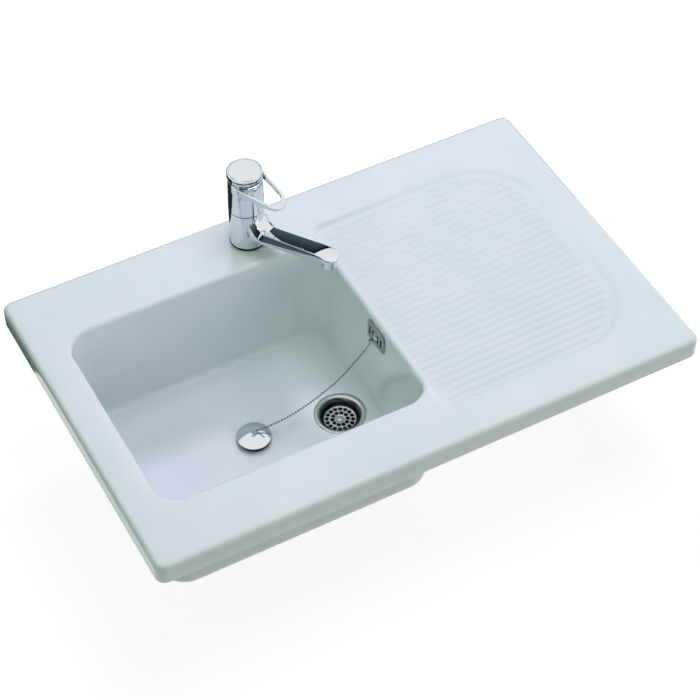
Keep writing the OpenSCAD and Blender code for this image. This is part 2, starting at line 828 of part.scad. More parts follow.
module stopper_cap() {
    r = plug_d / 2;
    ball_r = (r * r + plug_dome * plug_dome) / (2 * plug_dome);
    color("#d5d8da")
        at_plug(cap_z)
            difference() {
                union() {
                    intersection() {
                        translate([0, 0, plug_dome - ball_r]) sphere(r = ball_r, $fn = 96);
                        cylinder(r = r, h = plug_dome + 1);
                    }
                    translate([0, 0, plug_dome - 1]) cylinder(r = 2.4, h = 2);
                }
                translate([0, 0, -1]) cylinder(r = 1.5, h = plug_dome + 4, $fn = 24);
            }
}

module stopper_seal() {
    color("#17191a")
        at_plug(plug_z)
            difference() {
                union() {
                    cylinder(r1 = plug_foot_d / 2, r2 = plug_d / 2 - 1, h = plug_h - 2);
                    translate([0, 0, plug_h - 2]) cylinder(r = plug_d / 2 - 0.4, h = 2 - press);
                }
                translate([0, 0, plug_h - 5]) cylinder(r = 3, h = 6, $fn = 24);
            }
}

module stopper_eyelet() {
    color("#c4c8cc")
        at_plug(0)
            union() {
                translate([0, 0, eyelet_z])
                    rotate([90, 0, 0])
                        rotate_extrude() translate([eyelet_r, 0]) circle(r = eyelet_wire_r, $fn = 24);
                translate([0, 0, cap_z - 3.5])
                    cylinder(r = 1.5 - press, h = eyelet_z - eyelet_r - cap_z + 3.5, $fn = 24);
                translate([0, 0, cap_z - 3.5]) cylinder(r = 2.6, h = 3.3, $fn = 24);
            }
}

// Tap
module at_tap(az) {
    translate([tap_x, tap_y, rim_h]) rotate([0, 0, az]) children();
}

module tails_and_stud(clear) {
    for (side = [-1, 1])
        translate([side * tail_x, tail_y, -tail_l]) cylinder(r = tail_run_r + clear, h = tail_l + tail_in);
    translate([0, stud_y, -stud_l]) cylinder(r = stud_r + clear, h = stud_l + tail_in);
}

module tap_seal() {
    color("#1a1c1d")
        at_tap(0)
            difference() {
                cylinder(r = tap_d / 2 - 0.2, h = seat_seal_t);
                tails_and_stud(0.3);
            }
}

module tap_base() {
    color("#b9bec2")
        at_tap(0)
            translate([0, 0, seat_seal_t]) tube(tap_d / 2 + 0.4, foot_r + press, base_h - seat_seal_t);
}

module tap_column() {
    color("#b59a5e")
        at_tap(0)
            difference() {
                union() {
                    translate([0, 0, seat_seal_t]) cylinder(r = foot_r, h = base_h - seat_seal_t - 0.4);
                    translate([0, 0, seat_seal_t]) cylinder(r = column_r, h = head_z - seat_seal_t + 1);
                    translate([0, 0, head_z]) cylinder(r = head_r, h = housing_top - head_z);
                }
                translate([0, 0, cartridge_z]) cylinder(r = head_bore_r, h = housing_top);
                for (side = [-1, 1]) {
                    translate([side * tail_x, tail_y, seat_seal_t - 1]) cylinder(r = water_r, h = cartridge_z);
                    translate([side * tail_x, tail_y, seat_seal_t - 1])
                        cylinder(r = tail_run_r + press, h = tail_in + press);
                }
                translate([0, stud_y, seat_seal_t - 1]) cylinder(r = stud_r + press, h = tail_in + press);
                translate([0, stud_y - 3, joint_h / 2]) cylinder(r = water_r, h = joint_h);
                translate([0, stud_y - 3, joint_h / 2 + water_r])
                    rotate([-90, 0, 0]) cylinder(r = water_r, h = column_r);
            }
}

module swivel_bush(z) {
    at_tap(0)
        translate([0, 0, z]) tube(bore_r - run, column_r + press, bush_h);
}

module swivel_lower_bush() {
    color("#f1efe6") swivel_bush(ring_z + 0.6);
}

module swivel_upper_bush() {
    color("#f1efe6") swivel_bush(joint_h - bush_h - 0.6);
}

module swivel_o_rings() {
    wire_r = (bore_r - column_r) / 2 - 0.1;
    color("#1a1c1d")
        at_tap(0)
            for (z = [ring_z + bush_h + 6, joint_h - bush_h - 6])
                translate([0, 0, z])
                    rotate_extrude() translate([(bore_r + column_r) / 2, 0]) circle(r = wire_r, $fn = 24);
}

module thrust_washer() {
    color("#f1efe6")
        at_tap(0)
            translate([0, 0, joint_h + 0.1]) tube(head_r - 0.5, column_r + 0.3, gap_h - 0.1 - press);
}

module cartridge_body() {
    color("#dcdfe0")
        at_tap(0)
            translate([0, 0, cartridge_z + press])
                difference() {
                    cylinder(r = head_bore_r - press, h = cartridge_top - cartridge_z - press);
                    translate([0, 0, rotor_z - cartridge_z - 2 * disc_h - 2 * press])
                        cylinder(r = rotor_r + run, h = cartridge_top);
                    for (side = [-1, 1])
                        translate([side * tail_x, tail_y, -1]) cylinder(r = water_r, h = cartridge_top);
                    translate([0, stud_y - 3, -1]) cylinder(r = water_r, h = cartridge_top);
                }
}

module ceramic_discs() {
    color("#f4f4f2")
        at_tap(0)
            for (k = [1, 2])
                translate([0, 0, rotor_z - k * disc_h])
                    difference() {
                        cylinder(r = rotor_r - 0.3, h = disc_h - 0.1);
                        for (side = [-1, 1])
                            translate([side * tail_x, tail_y, -1]) cylinder(r = water_r - 0.5, h = disc_h + 2);
                        translate([0, stud_y - 3, -1]) cylinder(r = water_r - 0.5, h = disc_h + 2);
                    }
}

module cartridge_nut() {
    color("#b59a5e")
        at_tap(0)
            translate([0, 0, cartridge_top + press])
                tube(head_bore_r - press, rotor_neck_r + 3.5, housing_top - cartridge_top + 2);
}

module tap_sleeve() {
    foot = tap_d / 2;
    top = tap_top_d / 2;
    color("#c6cacd")
        at_tap(0)
            difference() {
                union() {
                    translate([0, 0, head_z])
                        cylinder(r1 = foot, r2 = top, h = sleeve_top - sleeve_chamfer - head_z);
                    translate([0, 0, sleeve_top - sleeve_chamfer])
                        cylinder(r1 = top, r2 = top - sleeve_chamfer, h = sleeve_chamfer);
                }
                translate([0, 0, head_z - 1]) cylinder(r = head_r + press, h = sleeve_top);
            }
}

module fixing_stud() {
    color("#c0b48a")
        at_tap(0)
            translate([0, stud_y, -stud_l]) cylinder(r = stud_r, h = stud_l + tail_in);
}

module horseshoe(h) {
    difference() {
        cylinder(r = fix_r, h = h);
        translate([0, stud_y, -1]) cylinder(r = stud_r + 0.3, h = h + 2);
        translate([-tail_x - tail_d / 2 - 1, -fix_r - 1, -1])
            cube([2 * tail_x + tail_d + 2, fix_r + 1 + tail_y + tail_d / 2 + 1, h + 2]);
    }
}

module fixing_gasket() {
    color("#1a1c1d")
        at_tap(0)
            translate([0, 0, under_z - fix_gasket_t]) horseshoe(fix_gasket_t - press);
}

module fixing_plate() {
    color("#a9adb0")
        at_tap(0)
            translate([0, 0, under_z - fix_gasket_t - fix_plate_t]) horseshoe(fix_plate_t - press);
}

module fixing_nut() {
    top = under_z - fix_gasket_t - fix_plate_t;
    color("#b59a5e")
        at_tap(0)
            translate([0, stud_y, top - fix_nut_h])
                difference() {
                    cylinder(r = 7.5, h = fix_nut_h - press, $fn = 6);
                    translate([0, 0, -1]) cylinder(r = stud_r + press, h = fix_nut_h + 2);
                }
}

module tail(side) {
    color("#b06b45")
        at_tap(0)
            translate([side * tail_x, tail_y, -tail_l])
                union() {
                    cylinder(r = tail_d / 2, h = tail_end_l);
                    cylinder(r = tail_run_r, h = tail_l + tail_in);
                }
}

module hot_tail() {
    tail(-1);
}

module cold_tail() {
    tail(1);
}

// Spout: sections across the arm, from inside the body to the rounded tip
function spout_share(x) = min(1, (x - tap_d / 2) / (spout_reach - tap_d / 2));
function spout_top_at(x) = spout_root_h + (spout_tip_h - spout_root_h) * spout_share(x)
    + fair_h * pow(1 - min(1, max(0, x - fair_x) / fair_l), 2.2);
function spout_under_at(x) = spout_root_h - spout_t + (spout_tip_h - spout_root_h) * spout_share(x);
function spout_half_at(x) = let (past = max(0, x - spout_reach))
    (spout_root_w + (spout_tip_w - spout_root_w) * spout_share(x))
    * sqrt(max(0.02, 1 - pow(past / spout_tip_r, 2)));
function spout_section(x) = let (
    w = spout_half_at(x),
    top = spout_top_at(x),
    under = spout_under_at(x),
    r_top = min(3, w / 2),
    r_under = min(6, w / 2))
    [for (c = [[1, -1, r_under, -90, under], [1, 1, r_top, 0, top],
            [-1, 1, r_top, 90, top], [-1, -1, r_under, 180, under]])
        for (i = [0:4]) let (a = c[3] + 90 * i / 4)
            [x, c[0] * (w - c[2]) + c[2] * cos(a), c[4] - c[1] * c[2] + c[2] * sin(a)]];

module spout_arm() {
    inner = tap_d / 2 - 5;
    straight = [for (i = [0:14]) inner + (spout_reach - inner) * i / 14];
    tip = [for (a = [18:18:90]) spout_reach + spout_tip_r * sin(a) * 0.99];
    near = [for (i = [1:5]) fair_x + fair_l * i / 6];
    far = [for (x = straight) if (x > fair_x + fair_l - 2) x];
    loft([for (x = concat([inner], near, far, tip)) spout_section(x)]);
}

module spout_body() {
    foot = tap_d / 2;
    water_from = bore_r - 3;
    rise = atan((spout_tip_h - spout_root_h) / (spout_reach - foot));
    color("#c6cacd")
        at_tap(spout_az)
            difference() {
                union() {
                    translate([0, 0, ring_z]) cylinder(r = foot, h = joint_h - ring_z);
                    spout_arm();
                }
                translate([0, 0, ring_z - 1]) cylinder(r = bore_r, h = joint_h + 1);
                translate([water_from, 0, spout_root_h - spout_t / 2 - 1])
                    rotate([0, 90 - rise, 0])
                        cylinder(r = 4, h = (spout_reach - water_from) / cos(rise));
                translate([spout_reach, 0, tip_under - 1])
                    cylinder(r = aerator_bore_r, h = aerator_neck_h + 2);
                translate([spout_reach, 0, tip_under - aerator_h])
                    cylinder(r = aerator_r + 0.3, h = aerator_h);
            }
}

module aerator_housing() {
    color("#cfd3d6")
        at_tap(spout_az)
            translate([spout_reach, 0, tip_under])
                difference() {
                    union() {
                        translate([0, 0, -aerator_h]) cylinder(r = aerator_r, h = aerator_h - press);
                        translate([0, 0, -1]) cylinder(r = aerator_bore_r - press, h = aerator_neck_h + 1);
                    }
                    translate([0, 0, -aerator_h - 1]) cylinder(r = aerator_bore_r - 1.6, h = aerator_h + 10);
                    translate([0, 0, -aerator_h - 1]) cylinder(r = aerator_bore_r, h = 7);
                }
}

module aerator_insert() {
    hole_r = 0.8;
    color("#9aa0a3")
        at_tap(spout_az)
            translate([spout_reach, 0, tip_under - aerator_h + 1])
                difference() {
                    cylinder(r = aerator_bore_r - press, h = 5 - press);
                    for (ring = [[0, 1], [3, 6], [6, 12]])
                        for (i = [0:ring[1] - 1])
                            rotate([0, 0, 360 * i / ring[1]])
                                translate([ring[0], 0, -1]) cylinder(r = hole_r, h = 8, $fn = 16);
                }
}

// Lever: the rotor turns for warmth, and the stem tilts on the rotor's pin for flow
module cartridge_rotor() {
    color("#e9e6da")
        at_tap(lever_az)
            difference() {
                union() {
                    translate([0, 0, rotor_z]) cylinder(r = rotor_r, h = cartridge_top - rotor_z);
                    translate([0, 0, rotor_z]) cylinder(r = rotor_neck_r, h = rotor_top - rotor_z);
                }
                translate([-rotor_neck_r - 1, -stem_w / 2 - 0.1, stem_z - 1.5])
                    cube([2 * rotor_neck_r + 2, stem_w + 0.2, rotor_top]);
                translate([0, 0, pivot_z]) rotate([90, 0, 0])
                    cylinder(r = pin_r + press, h = 2 * rotor_neck_r + 2, center = true);
            }
}

module rotor_pin() {
    color("#b4b8bb")
        at_tap(lever_az)
            translate([0, 0, pivot_z]) rotate([90, 0, 0])
                cylinder(r = pin_r, h = 2 * rotor_neck_r - 2, center = true);
}

module lever_stem() {
    color("#b4b8bb")
        at_tap(lever_az)
            difference() {
                translate([-stem_w / 2, -stem_w / 2, stem_z]) cube([stem_w, stem_w, stem_top - stem_z]);
                translate([0, 0, pivot_z]) rotate([90, 0, 0])
                    cylinder(r = pin_r + run, h = stem_w + 2, center = true);
            }
}

// The loop's outline, seen from above, with the tap's axis at the origin
module loop_outline(r_axis, r_end, end_x) {
    hull() {
        circle(r = r_axis, $fn = hull_fn);
        translate([end_x, 0]) circle(r = r_end, $fn = hull_fn);
    }
}

// Its top slopes down to the tip, and its arms get lower towards the tip
module lever_loop() {
    arm_back = 4;
    end_r = 20;
    end_w = 8;
    arm_w = 3.6;
    inner_r = tap_top_d / 2 + 2;
    top_z = skirt_z + loop_rise;
    tip_z = top_z - lever_reach * tan(lever_slope);
    root_z = top_z - lever_root_t;
    fall = (root_z - tip_z + lever_tip_t) / lever_reach;
    intersection() {
        rotate([90, 0, 0])
            linear_extrude(2 * lever_reach, center = true)
                polygon([[-arm_back, root_z + arm_back * fall], [lever_reach + 1, tip_z - lever_tip_t - fall],
                    [lever_reach + 1, tip_z - tan(lever_slope)],
                    [-arm_back, top_z + arm_back * tan(lever_slope)]]);
        translate([0, 0, tip_z - 2 * lever_reach])
            linear_extrude(4 * lever_reach)
                difference() {
                    loop_outline(inner_r + arm_w, end_r, lever_reach - end_r);
                    loop_outline(inner_r, end_r - arm_w, lever_reach - end_r - end_w + arm_w);
                }
    }
}

module lever_handle() {
    r = cap_d / 2;
    top = tap_h - insert_recess;
    color("#cfd3d6")
        at_tap(lever_az)
            difference() {
                union() {
                    translate([0, 0, skirt_z]) cylinder(r = r, h = top - skirt_z - 0.4);
                    translate([0, 0, top - 0.4]) cylinder(r1 = r, r2 = r - 1.2, h = 1.4);
                    difference() {
                        lever_loop();
                        translate([0, 0, -1]) cylinder(r = r - cap_wall, h = top);
                    }
                    for (side = [-1, 1])
                        translate([-4, side * (r + 0.6) - 1.6, skirt_z]) cube([12, 3.2, 6]);
                    translate([0, 0, lever_hub_z]) cylinder(r = lever_hub_r, h = skirt_z - lever_hub_z + 1);
                }
                difference() {
                    translate([0, 0, skirt_z - 1]) cylinder(r = r - cap_wall, h = cavity_h + 1);
                    translate([0, 0, skirt_z - 2]) cylinder(r = lever_hub_r, h = cavity_h + 3);
                }
                translate([0, 0, top]) cylinder(r = r - insert_lip, h = 5);
                translate([-hub_bore_w / 2, -hub_bore_w / 2, lever_hub_z - 1])
                    cube([hub_bore_w, hub_bore_w, stem_top - lever_hub_z + 1 + press]);
                translate([-lever_hub_r - 1, 0, grub_z]) rotate([0, 90, 0])
                    cylinder(r = grub_r + press, h = lever_hub_r + 1);
            }
}

module lever_insert() {
    r = cap_d / 2 - insert_lip - press;
    edge = 0.8;
    steps = 6;
    color("#e4e6ea")
        at_tap(lever_az)
            translate([0, 0, tap_h - insert_recess])
                rotate_extrude()
                    polygon(concat(
                        [[0, press], [r, press]],
                        [for (i = [0:steps]) [r * (1 - i / steps),
                            edge + (insert_recess - edge) * sin(90 * i / steps)]]));
}

module lever_grub_screw() {
    color("#8b9093")
        at_tap(lever_az)
            translate([-hub_bore_w / 2 - grub_l, 0, grub_z]) rotate([0, 90, 0])
                difference() {
                    cylinder(r = grub_r, h = grub_l - press);
                    translate([0, 0, -1]) cylinder(r = 1.25, h = 2.5, $fn = 6);
                }
}

sink_body();
waste_strainer();
waste_top_seal();
waste_bottom_seal();
waste_body();
waste_insert();
waste_screw();
overflow_plate();
overflow_screw();
overflow_front_seal();
overflow_back_seal();
overflow_elbow();
overflow_pipe();
overflow_pipe_nuts();
hook_ring();
chain_clasp();
ball_chain();
stopper_cap();
stopper_seal();
stopper_eyelet();
tap_seal();
tap_base();
tap_column();
swivel_lower_bush();
swivel_upper_bush();
swivel_o_rings();
thrust_washer();
cartridge_body();
ceramic_discs();
cartridge_nut();
tap_sleeve();
fixing_stud();
fixing_gasket();
fixing_plate();
fixing_nut();
hot_tail();
cold_tail();
spout_body();
aerator_housing();
aerator_insert();
cartridge_rotor();
rotor_pin();
lever_stem();
lever_handle();
lever_insert();
lever_grub_screw();
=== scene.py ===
import json
import math
import bmesh
import bpy
from mathutils import Matrix, Vector


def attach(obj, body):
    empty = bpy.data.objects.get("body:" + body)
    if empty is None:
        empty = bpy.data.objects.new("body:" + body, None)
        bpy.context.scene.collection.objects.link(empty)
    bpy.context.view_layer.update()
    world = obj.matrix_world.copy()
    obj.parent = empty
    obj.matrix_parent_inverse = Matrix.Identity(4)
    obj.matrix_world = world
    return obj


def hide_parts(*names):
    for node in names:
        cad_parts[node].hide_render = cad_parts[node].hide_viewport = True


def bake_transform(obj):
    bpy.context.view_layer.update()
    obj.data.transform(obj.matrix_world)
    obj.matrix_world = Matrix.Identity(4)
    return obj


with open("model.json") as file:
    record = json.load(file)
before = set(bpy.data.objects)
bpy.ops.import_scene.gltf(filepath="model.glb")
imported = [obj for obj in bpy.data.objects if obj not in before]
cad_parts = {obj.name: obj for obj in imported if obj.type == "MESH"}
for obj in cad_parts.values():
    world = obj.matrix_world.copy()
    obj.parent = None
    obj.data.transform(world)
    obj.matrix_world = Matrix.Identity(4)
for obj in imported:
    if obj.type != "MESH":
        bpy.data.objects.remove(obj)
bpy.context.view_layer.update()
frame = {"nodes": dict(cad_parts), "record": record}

MM = 0.001


# Camera: fitted to the straight edges of the slab in the photograph
def make_camera():
    data = bpy.data.cameras.new("camera")
    data.sensor_width = 36.0
    data.lens = 111.137
    data.clip_start = 0.05
    data.clip_end = 50.0
    camera = bpy.data.objects.new("camera", data)
    right = Vector((0.88004156, -0.47487439, -0.00460134))
    up = Vector((0.35775946, 0.656569, 0.66402207))
    back = Vector((-0.31230598, -0.58601319, 0.74769881))
    turn = Matrix((right, up, back)).transposed().to_4x4()
    camera.matrix_world = Matrix.Translation((-1.03515, -1.67512, 2.45370)) @ turn
    bpy.context.scene.collection.objects.link(camera)
    bpy.context.scene.camera = camera


make_camera()


# Tools
def shift(x, y, z):
    """A move in mm."""
    return Matrix.Translation((x * MM, y * MM, z * MM))


def spin(angle, axis="Z"):
    """A turn by an angle in degrees."""
    return Matrix.Rotation(math.radians(angle), 4, axis)


def select_only(obj):
    if bpy.context.object and bpy.context.object.mode != "OBJECT":
        bpy.ops.object.mode_set(mode="OBJECT")
    bpy.ops.object.select_all(action="DESELECT")
    obj.select_set(True)
    bpy.context.view_layer.objects.active = obj


def started(name):
    """The primitive that was just added, with its name."""
    obj = bpy.context.object
    obj.name = obj.data.name = name
    return obj


def pick(obj, kind, test):
    """Edit mode with those vertices, edges or faces selected for which the test holds."""
    select_only(obj)
    bpy.ops.object.mode_set(mode="EDIT")
    bpy.ops.mesh.select_mode(type=kind)
    bpy.ops.mesh.select_all(action="DESELECT")
    bm = bmesh.from_edit_mesh(obj.data)
    for part in {"VERT": bm.verts, "EDGE": bm.edges, "FACE": bm.faces}[kind]:
        if test(part):
            part.select_set(True)
    bm.select_flush_mode()
    bmesh.update_edit_mesh(obj.data)


def pick_open_edges():
    """In edit mode, selects the edges that bound a hole or the outside of a skin."""
    bpy.ops.mesh.select_mode(type="EDGE")
    bpy.ops.mesh.select_all(action="DESELECT")
    bpy.ops.mesh.select_non_manifold()


def back_to_object():
    bpy.ops.object.mode_set(mode="OBJECT")


def middle(part):
    """The middle of an edge or face, in mm."""
    total = Vector()
    for v in part.verts:
        total += v.co
    return total / len(part.verts) / MM


def upright(edge):
    """Whether an edge stands upright, or nearly so."""
    a, b = edge.verts[0].co, edge.verts[1].co
    return abs(a.z - b.z) > 0.9 * (a - b).length


def modify(obj, kind, **settings):
    """Adds a modifier and applies it."""
    select_only(obj)
    modifier = obj.modifiers.new(kind.lower(), kind)
    for key, value in settings.items():
        setattr(modifier, key, value)
    bpy.ops.object.modifier_apply(modifier=modifier.name)


def combine(obj, other, how):
    """Boolean with another closed mesh, which is used up."""
    modify(obj, "BOOLEAN", object=other, operation=how, solver="EXACT")
    mesh = other.data
    bpy.data.objects.remove(other)
    bpy.data.meshes.remove(mesh)
    return obj


def join(first, *others):
    select_only(first)
    for other in others:
        other.select_set(True)
    bpy.ops.object.join()
    return first


def place(obj, matrix):
    """Moves the mesh, and leaves the object at the origin."""
    obj.matrix_world = matrix
    select_only(obj)
    bpy.ops.object.transform_apply(location=True, rotation=True, scale=True)
    return obj


def copied(obj, name, matrix):
    new = obj.copy()
    new.data = obj.data.copy()
    new.name = new.data.name = name
    bpy.context.scene.collection.objects.link(new)
    return place(new, matrix)


def repeated(obj, matrices):
    """Copies of a piece at each matrix, joined into one. The piece itself is used up."""
    copies = [copied(obj, f"{obj.name}_{k}", matrix) for k, matrix in enumerate(matrices)]
    bpy.data.objects.remove(obj)
    return join(*copies)


def smooth(obj, angle=30, flat=False):
    """Smooth shading up to an angle. With flat, large faces stay flat beside their rounded edges."""
    select_only(obj)
    bpy.ops.object.shade_smooth_by_angle(angle=math.radians(angle))
    if flat:
        modify(obj, "WEIGHTED_NORMAL", weight=80, keep_sharp=True)
    return obj


def tidy(obj, gap=0.002):
    """Vertices closer than the gap in mm merged, then faces turned outwards."""
    pick(obj, "VERT", lambda v: True)
    bpy.ops.mesh.remove_doubles(threshold=gap * MM)
    bpy.ops.mesh.normals_make_consistent(inside=False)
    back_to_object()
    return obj


def turned(name, outline, steps=64):
    """A piece turned on a lathe round the Z axis: its outline is radius and height in mm, spun full circle."""
    bpy.ops.mesh.primitive_plane_add(size=MM)
    obj = started(name)
    bpy.ops.object.mode_set(mode="EDIT")
    bpy.ops.mesh.merge(type="CENTER")
    at = Vector((0, 0))
    for k, point in enumerate(outline):
        step = Vector(point) - at
        move = (step.x * MM, 0, step.y * MM)
        if k:
            bpy.ops.mesh.extrude_vertices_move(TRANSFORM_OT_translate={"value": move})
        else:
            bpy.ops.transform.translate(value=move)
        at = Vector(point)
    bpy.ops.mesh.select_all(action="SELECT")
    bpy.ops.mesh.spin(steps=steps, angle=math.tau, center=(0, 0, 0), axis=(0, 0, 1))
    back_to_object()
    return tidy(obj)


def number_layer(bm):
    """The layer that holds each vertex's number in its ring."""
    return bm.verts.layers.int.get("number") or bm.verts.layers.int.new("number")


def lofted(name, loops):
    """A solid through loops of points in mm: a ring of edges is extruded from each loop to the next."""
    bpy.ops.mesh.primitive_circle_add(vertices=len(loops[0]), radius=1.0, fill_type="NOTHING")
    obj = started(name)
    bpy.ops.object.mode_set(mode="EDIT")
    bm = bmesh.from_edit_mesh(obj.data)
    number = number_layer(bm)
    order = sorted(bm.verts, key=lambda v: math.atan2(v.co.y, v.co.x) % math.tau)
    for k, v in enumerate(order):
        v[number] = k
    follow(obj, loops[0])
    for loop in loops[1:]:
        bpy.ops.mesh.extrude_edges_move()
        follow(obj, loop)
    bm = bmesh.from_edit_mesh(obj.data)
    bmesh.ops.holes_fill(bm, edges=[e for e in bm.edges if e.is_boundary], sides=0)
    bmesh.update_edit_mesh(obj.data)
    back_to_object()
    return tidy(obj)


def follow(obj, loop):
    """Moves the selected ring to a loop of points in mm, by each vertex's number."""
    bm = bmesh.from_edit_mesh(obj.data)
    number = bm.verts.layers.int["number"]
    for v in bm.verts:
        if v.select:
            v.co = Vector(loop[v[number]]) * MM
    bmesh.update_edit_mesh(obj.data)


def arc(cx, cy, r, start, end, steps):
    """Points along an arc, with its angles in degrees."""
    angles = [math.radians(start + (end - start) * k / steps) for k in range(steps + 1)]
    return [(cx + r * math.cos(a), cy + r * math.sin(a)) for a in angles]


def rounded(x0, y0, x1, y1, r, steps=12):
    """A rounded rectangle, counter-clockwise."""
    return (arc(x1 - r, y1 - r, r, 0, 90, steps) + arc(x0 + r, y1 - r, r, 90, 180, steps)
            + arc(x0 + r, y0 + r, r, 180, 270, steps) + arc(x1 - r, y0 + r, r, 270, 360, steps))


def at_z(points, z):
    return [(x, y, z) for x, y in points]


def block(name, outline, *levels):
    """A solid with the same rounded rectangle, as for rounded(), at each of those heights."""
    return lofted(name, [at_z(rounded(*outline), z) for z in levels])


# Sizes in mm, as in the solids
SINK = dict(x0=-450, x1=450, y0=-12, y1=558, rim=36, deck=20, seat=24, corner=16, edge=9, foot_edge=1.5)
DRAFT = math.radians(1.5)
LEAN = math.tan(DRAFT)
BOWL = dict(x0=-394, x1=42, y0=87, y1=446, foot=-160, r=40, lip=7, fillet=15, fall=2.5)
BOWL_OUTSIDE = dict(wall=13, r=46, r_foot=22, fillet=26, straight=-146, top=20)
RECESS = dict(x0=35, x1=400, y0=51, y1=481, r=110, r_bowl=22, deep=9, shallow=2.5, slope=12)
RIB = dict(x0=52, pitch=13.8, count=29, y0=72.8, half=3.5, height=1.8, margin=20, run_out=9)
WASTE = (-20.13, 264.5)
FLANGE_Z = -161.5
WASTE_BODY_Z = -178.5
WASTE_GRID = ((16, 20.9, -28.4), (10, 12.4, -20.5))  # holes, their radius and the first one's angle
SCREW_SLOT_AZ = -69
THREAD = dict(pitch=2.31, turns=10, foot=67.6)
PIPE = dict(z=-199.0, az=-5.082, run=95.95, top=-36.0, nut=37)
OVERFLOW = (42 - 40.5 * LEAN, 256.0, -4.5)
PLUG = (-163.13, 281.0)
CAP_Z = -152.02
TAP = (-54.5, 502.0)
SPOUT = dict(az=-67.5, foot=28.2, reach=165, root_half=20, tip_half=15, root_h=40, tip_h=75, thick=16,
             fair_x=22.2, fair_l=26, fair_h=29, bow_l=24, bow_h=7.5)
LEVER_AZ = -58
LOOP = dict(r_in=28.8, width=3.6, tip_in=16.4, tip_out=20, x_in=44.6, x_out=49, back=4,
            top=136.4, slope=0.4663, root=121.4, fall=0.31, least=2.5)
# The loop's blade in section: share of its width, whether on its top, and lift
BLADE = [(0.16, False, 0), (0.04, False, 0.35), (0, False, 1.0), (0, True, -1.0), (0.05, True, -0.3),
         (0.16, True, 0), (0.5, True, 0.12), (0.84, True, 0), (0.95, True, -0.3), (1, True, -1.0),
         (1, False, 1.0), (0.96, False, 0.35), (0.84, False, 0)]


def at_waste(z):
    return shift(WASTE[0], WASTE[1], z)


def at_plug(z):
    return shift(PLUG[0], PLUG[1], z)


def at_tap(az):
    """The tap's own frame: its axis at the origin, the deck at 0, and X along that direction."""
    return shift(TAP[0], TAP[1], SINK["rim"]) @ spin(az)


def overflow_matrix():
    """The overflow plate's own frame on the bowl's right wall: X along the wall, Y up, Z into the bowl."""
    along = Vector((0, -1, 0))
    into = Vector((-math.cos(DRAFT), 0, math.sin(DRAFT)))
    up = into.cross(along)
    turn = Matrix((along, up, into)).transposed().to_4x4()
    return Matrix.Translation(Vector(OVERFLOW) * MM) @ turn


# Ceramic
def inside_by(x, y, x0, y0, x1, y1, r_left, r_right):
    """How far a point lies inside a rounded rectangle with corner radii left and right; negative outside."""
    r = r_right if x > (x0 + x1) / 2 else r_left
    px = max(x0 + r - x, x - (x1 - r), 0)
    py = max(y0 + r - y, y - (y1 - r), 0)
    if px > 0 and py > 0:
        return r - math.hypot(px, py)
    return min(x - x0, x1 - x, y - y0, y1 - y)


def soft_step(t):
    """0 to 1 with soft ends."""
    t = min(1, max(0, t))
    return t * t * (3 - 2 * t)


def recess_depth(x):
    share = (x - BOWL["x1"]) / (RECESS["x1"] - BOWL["x1"])
    return RECESS["deep"] + (RECESS["shallow"] - RECESS["deep"]) * share


def rib_rise(x, y):
    """Height of the drainer's ribs: round ridges with ends that run out softly."""
    k = round((y - RIB["y0"]) / RIB["pitch"])
    if not 0 <= k < RIB["count"]:
        return 0
    off = abs(y - RIB["y0"] - k * RIB["pitch"])
    if off >= RIB["half"]:
        return 0
    r_end = RECESS["r"] - RIB["margin"]
    mid = (RECESS["y0"] + RECESS["y1"]) / 2
    half = (RECESS["y1"] - RECESS["y0"]) / 2 - RIB["margin"]
    past = max(0, abs(RIB["y0"] + k * RIB["pitch"] - mid) - (half - r_end))
    x_end = RECESS["x1"] - RIB["margin"] - r_end + math.sqrt(max(0, r_end * r_end - past * past))
    ends = soft_step((x - RIB["x0"]) / RIB["run_out"]) * soft_step((x_end - x) / RIB["run_out"])
    return RIB["height"] * ends * math.cos(math.pi / 2 * off / RIB["half"]) ** 1.3


def top_height(x, y):
    """Height of the ceramic's upper side."""
    inside = inside_by(x, y, RECESS["x0"], RECESS["y0"], RECESS["x1"], RECESS["y1"], RECESS["r_bowl"], RECESS["r"])
    return SINK["rim"] - soft_step(inside / RECESS["slope"]) * recess_depth(x) + rib_rise(x, y)


def grid_lines():
    """Where the deck's grid is drawn: close together on the ribs and on the recess's slopes."""
    xs = [-450, -425, -400, -340, -280, -220, -160, -100, -50, 0, 20, 31, 35]
    xs += [37, 39, 41, 43, 45, 47, 50, 52, 54, 56, 58, 61, 64, 68, 76]
    xs += list(range(88, 290, 12)) + list(range(292, 402, 3)) + [403, 412, 425, 450]
    ys = [-12, 13, 36, 47, 51, 53, 55, 57, 59, 61, 63, 66]
    for k in range(RIB["count"]):
        middle_y = RIB["y0"] + k * RIB["pitch"]
        ys += [middle_y + d for d in (-5.4, -3.5, -2.4, -1.2, 0, 1.2, 2.4, 3.5, 5.4)]
    ys += [467, 469, 471, 473, 475, 477, 479, 481, 485, 500, 533, 558]
    return xs, sorted(ys)


def at_corner(p):
    """Whether a point is at one of the slab's four corners."""
    return (abs(abs(p.x) - SINK["x1"]) < 0.1
            and min(abs(p.y - SINK["y0"]), abs(p.y - SINK["y1"])) < 0.1)


def at_outline(p):
    """Whether a point is on the slab's outer side."""
    return inside_by(p.x, p.y, SINK["x0"], SINK["y0"], SINK["x1"], SINK["y1"],
                     SINK["corner"], SINK["corner"]) < 0.3


def under_deck(inset):
    """The outline of the room under the deck, that far inside the slab's."""
    return rounded(SINK["x0"] + inset, SINK["y0"] + inset, SINK["x1"] - inset, SINK["y1"] - inset, SINK["corner"])


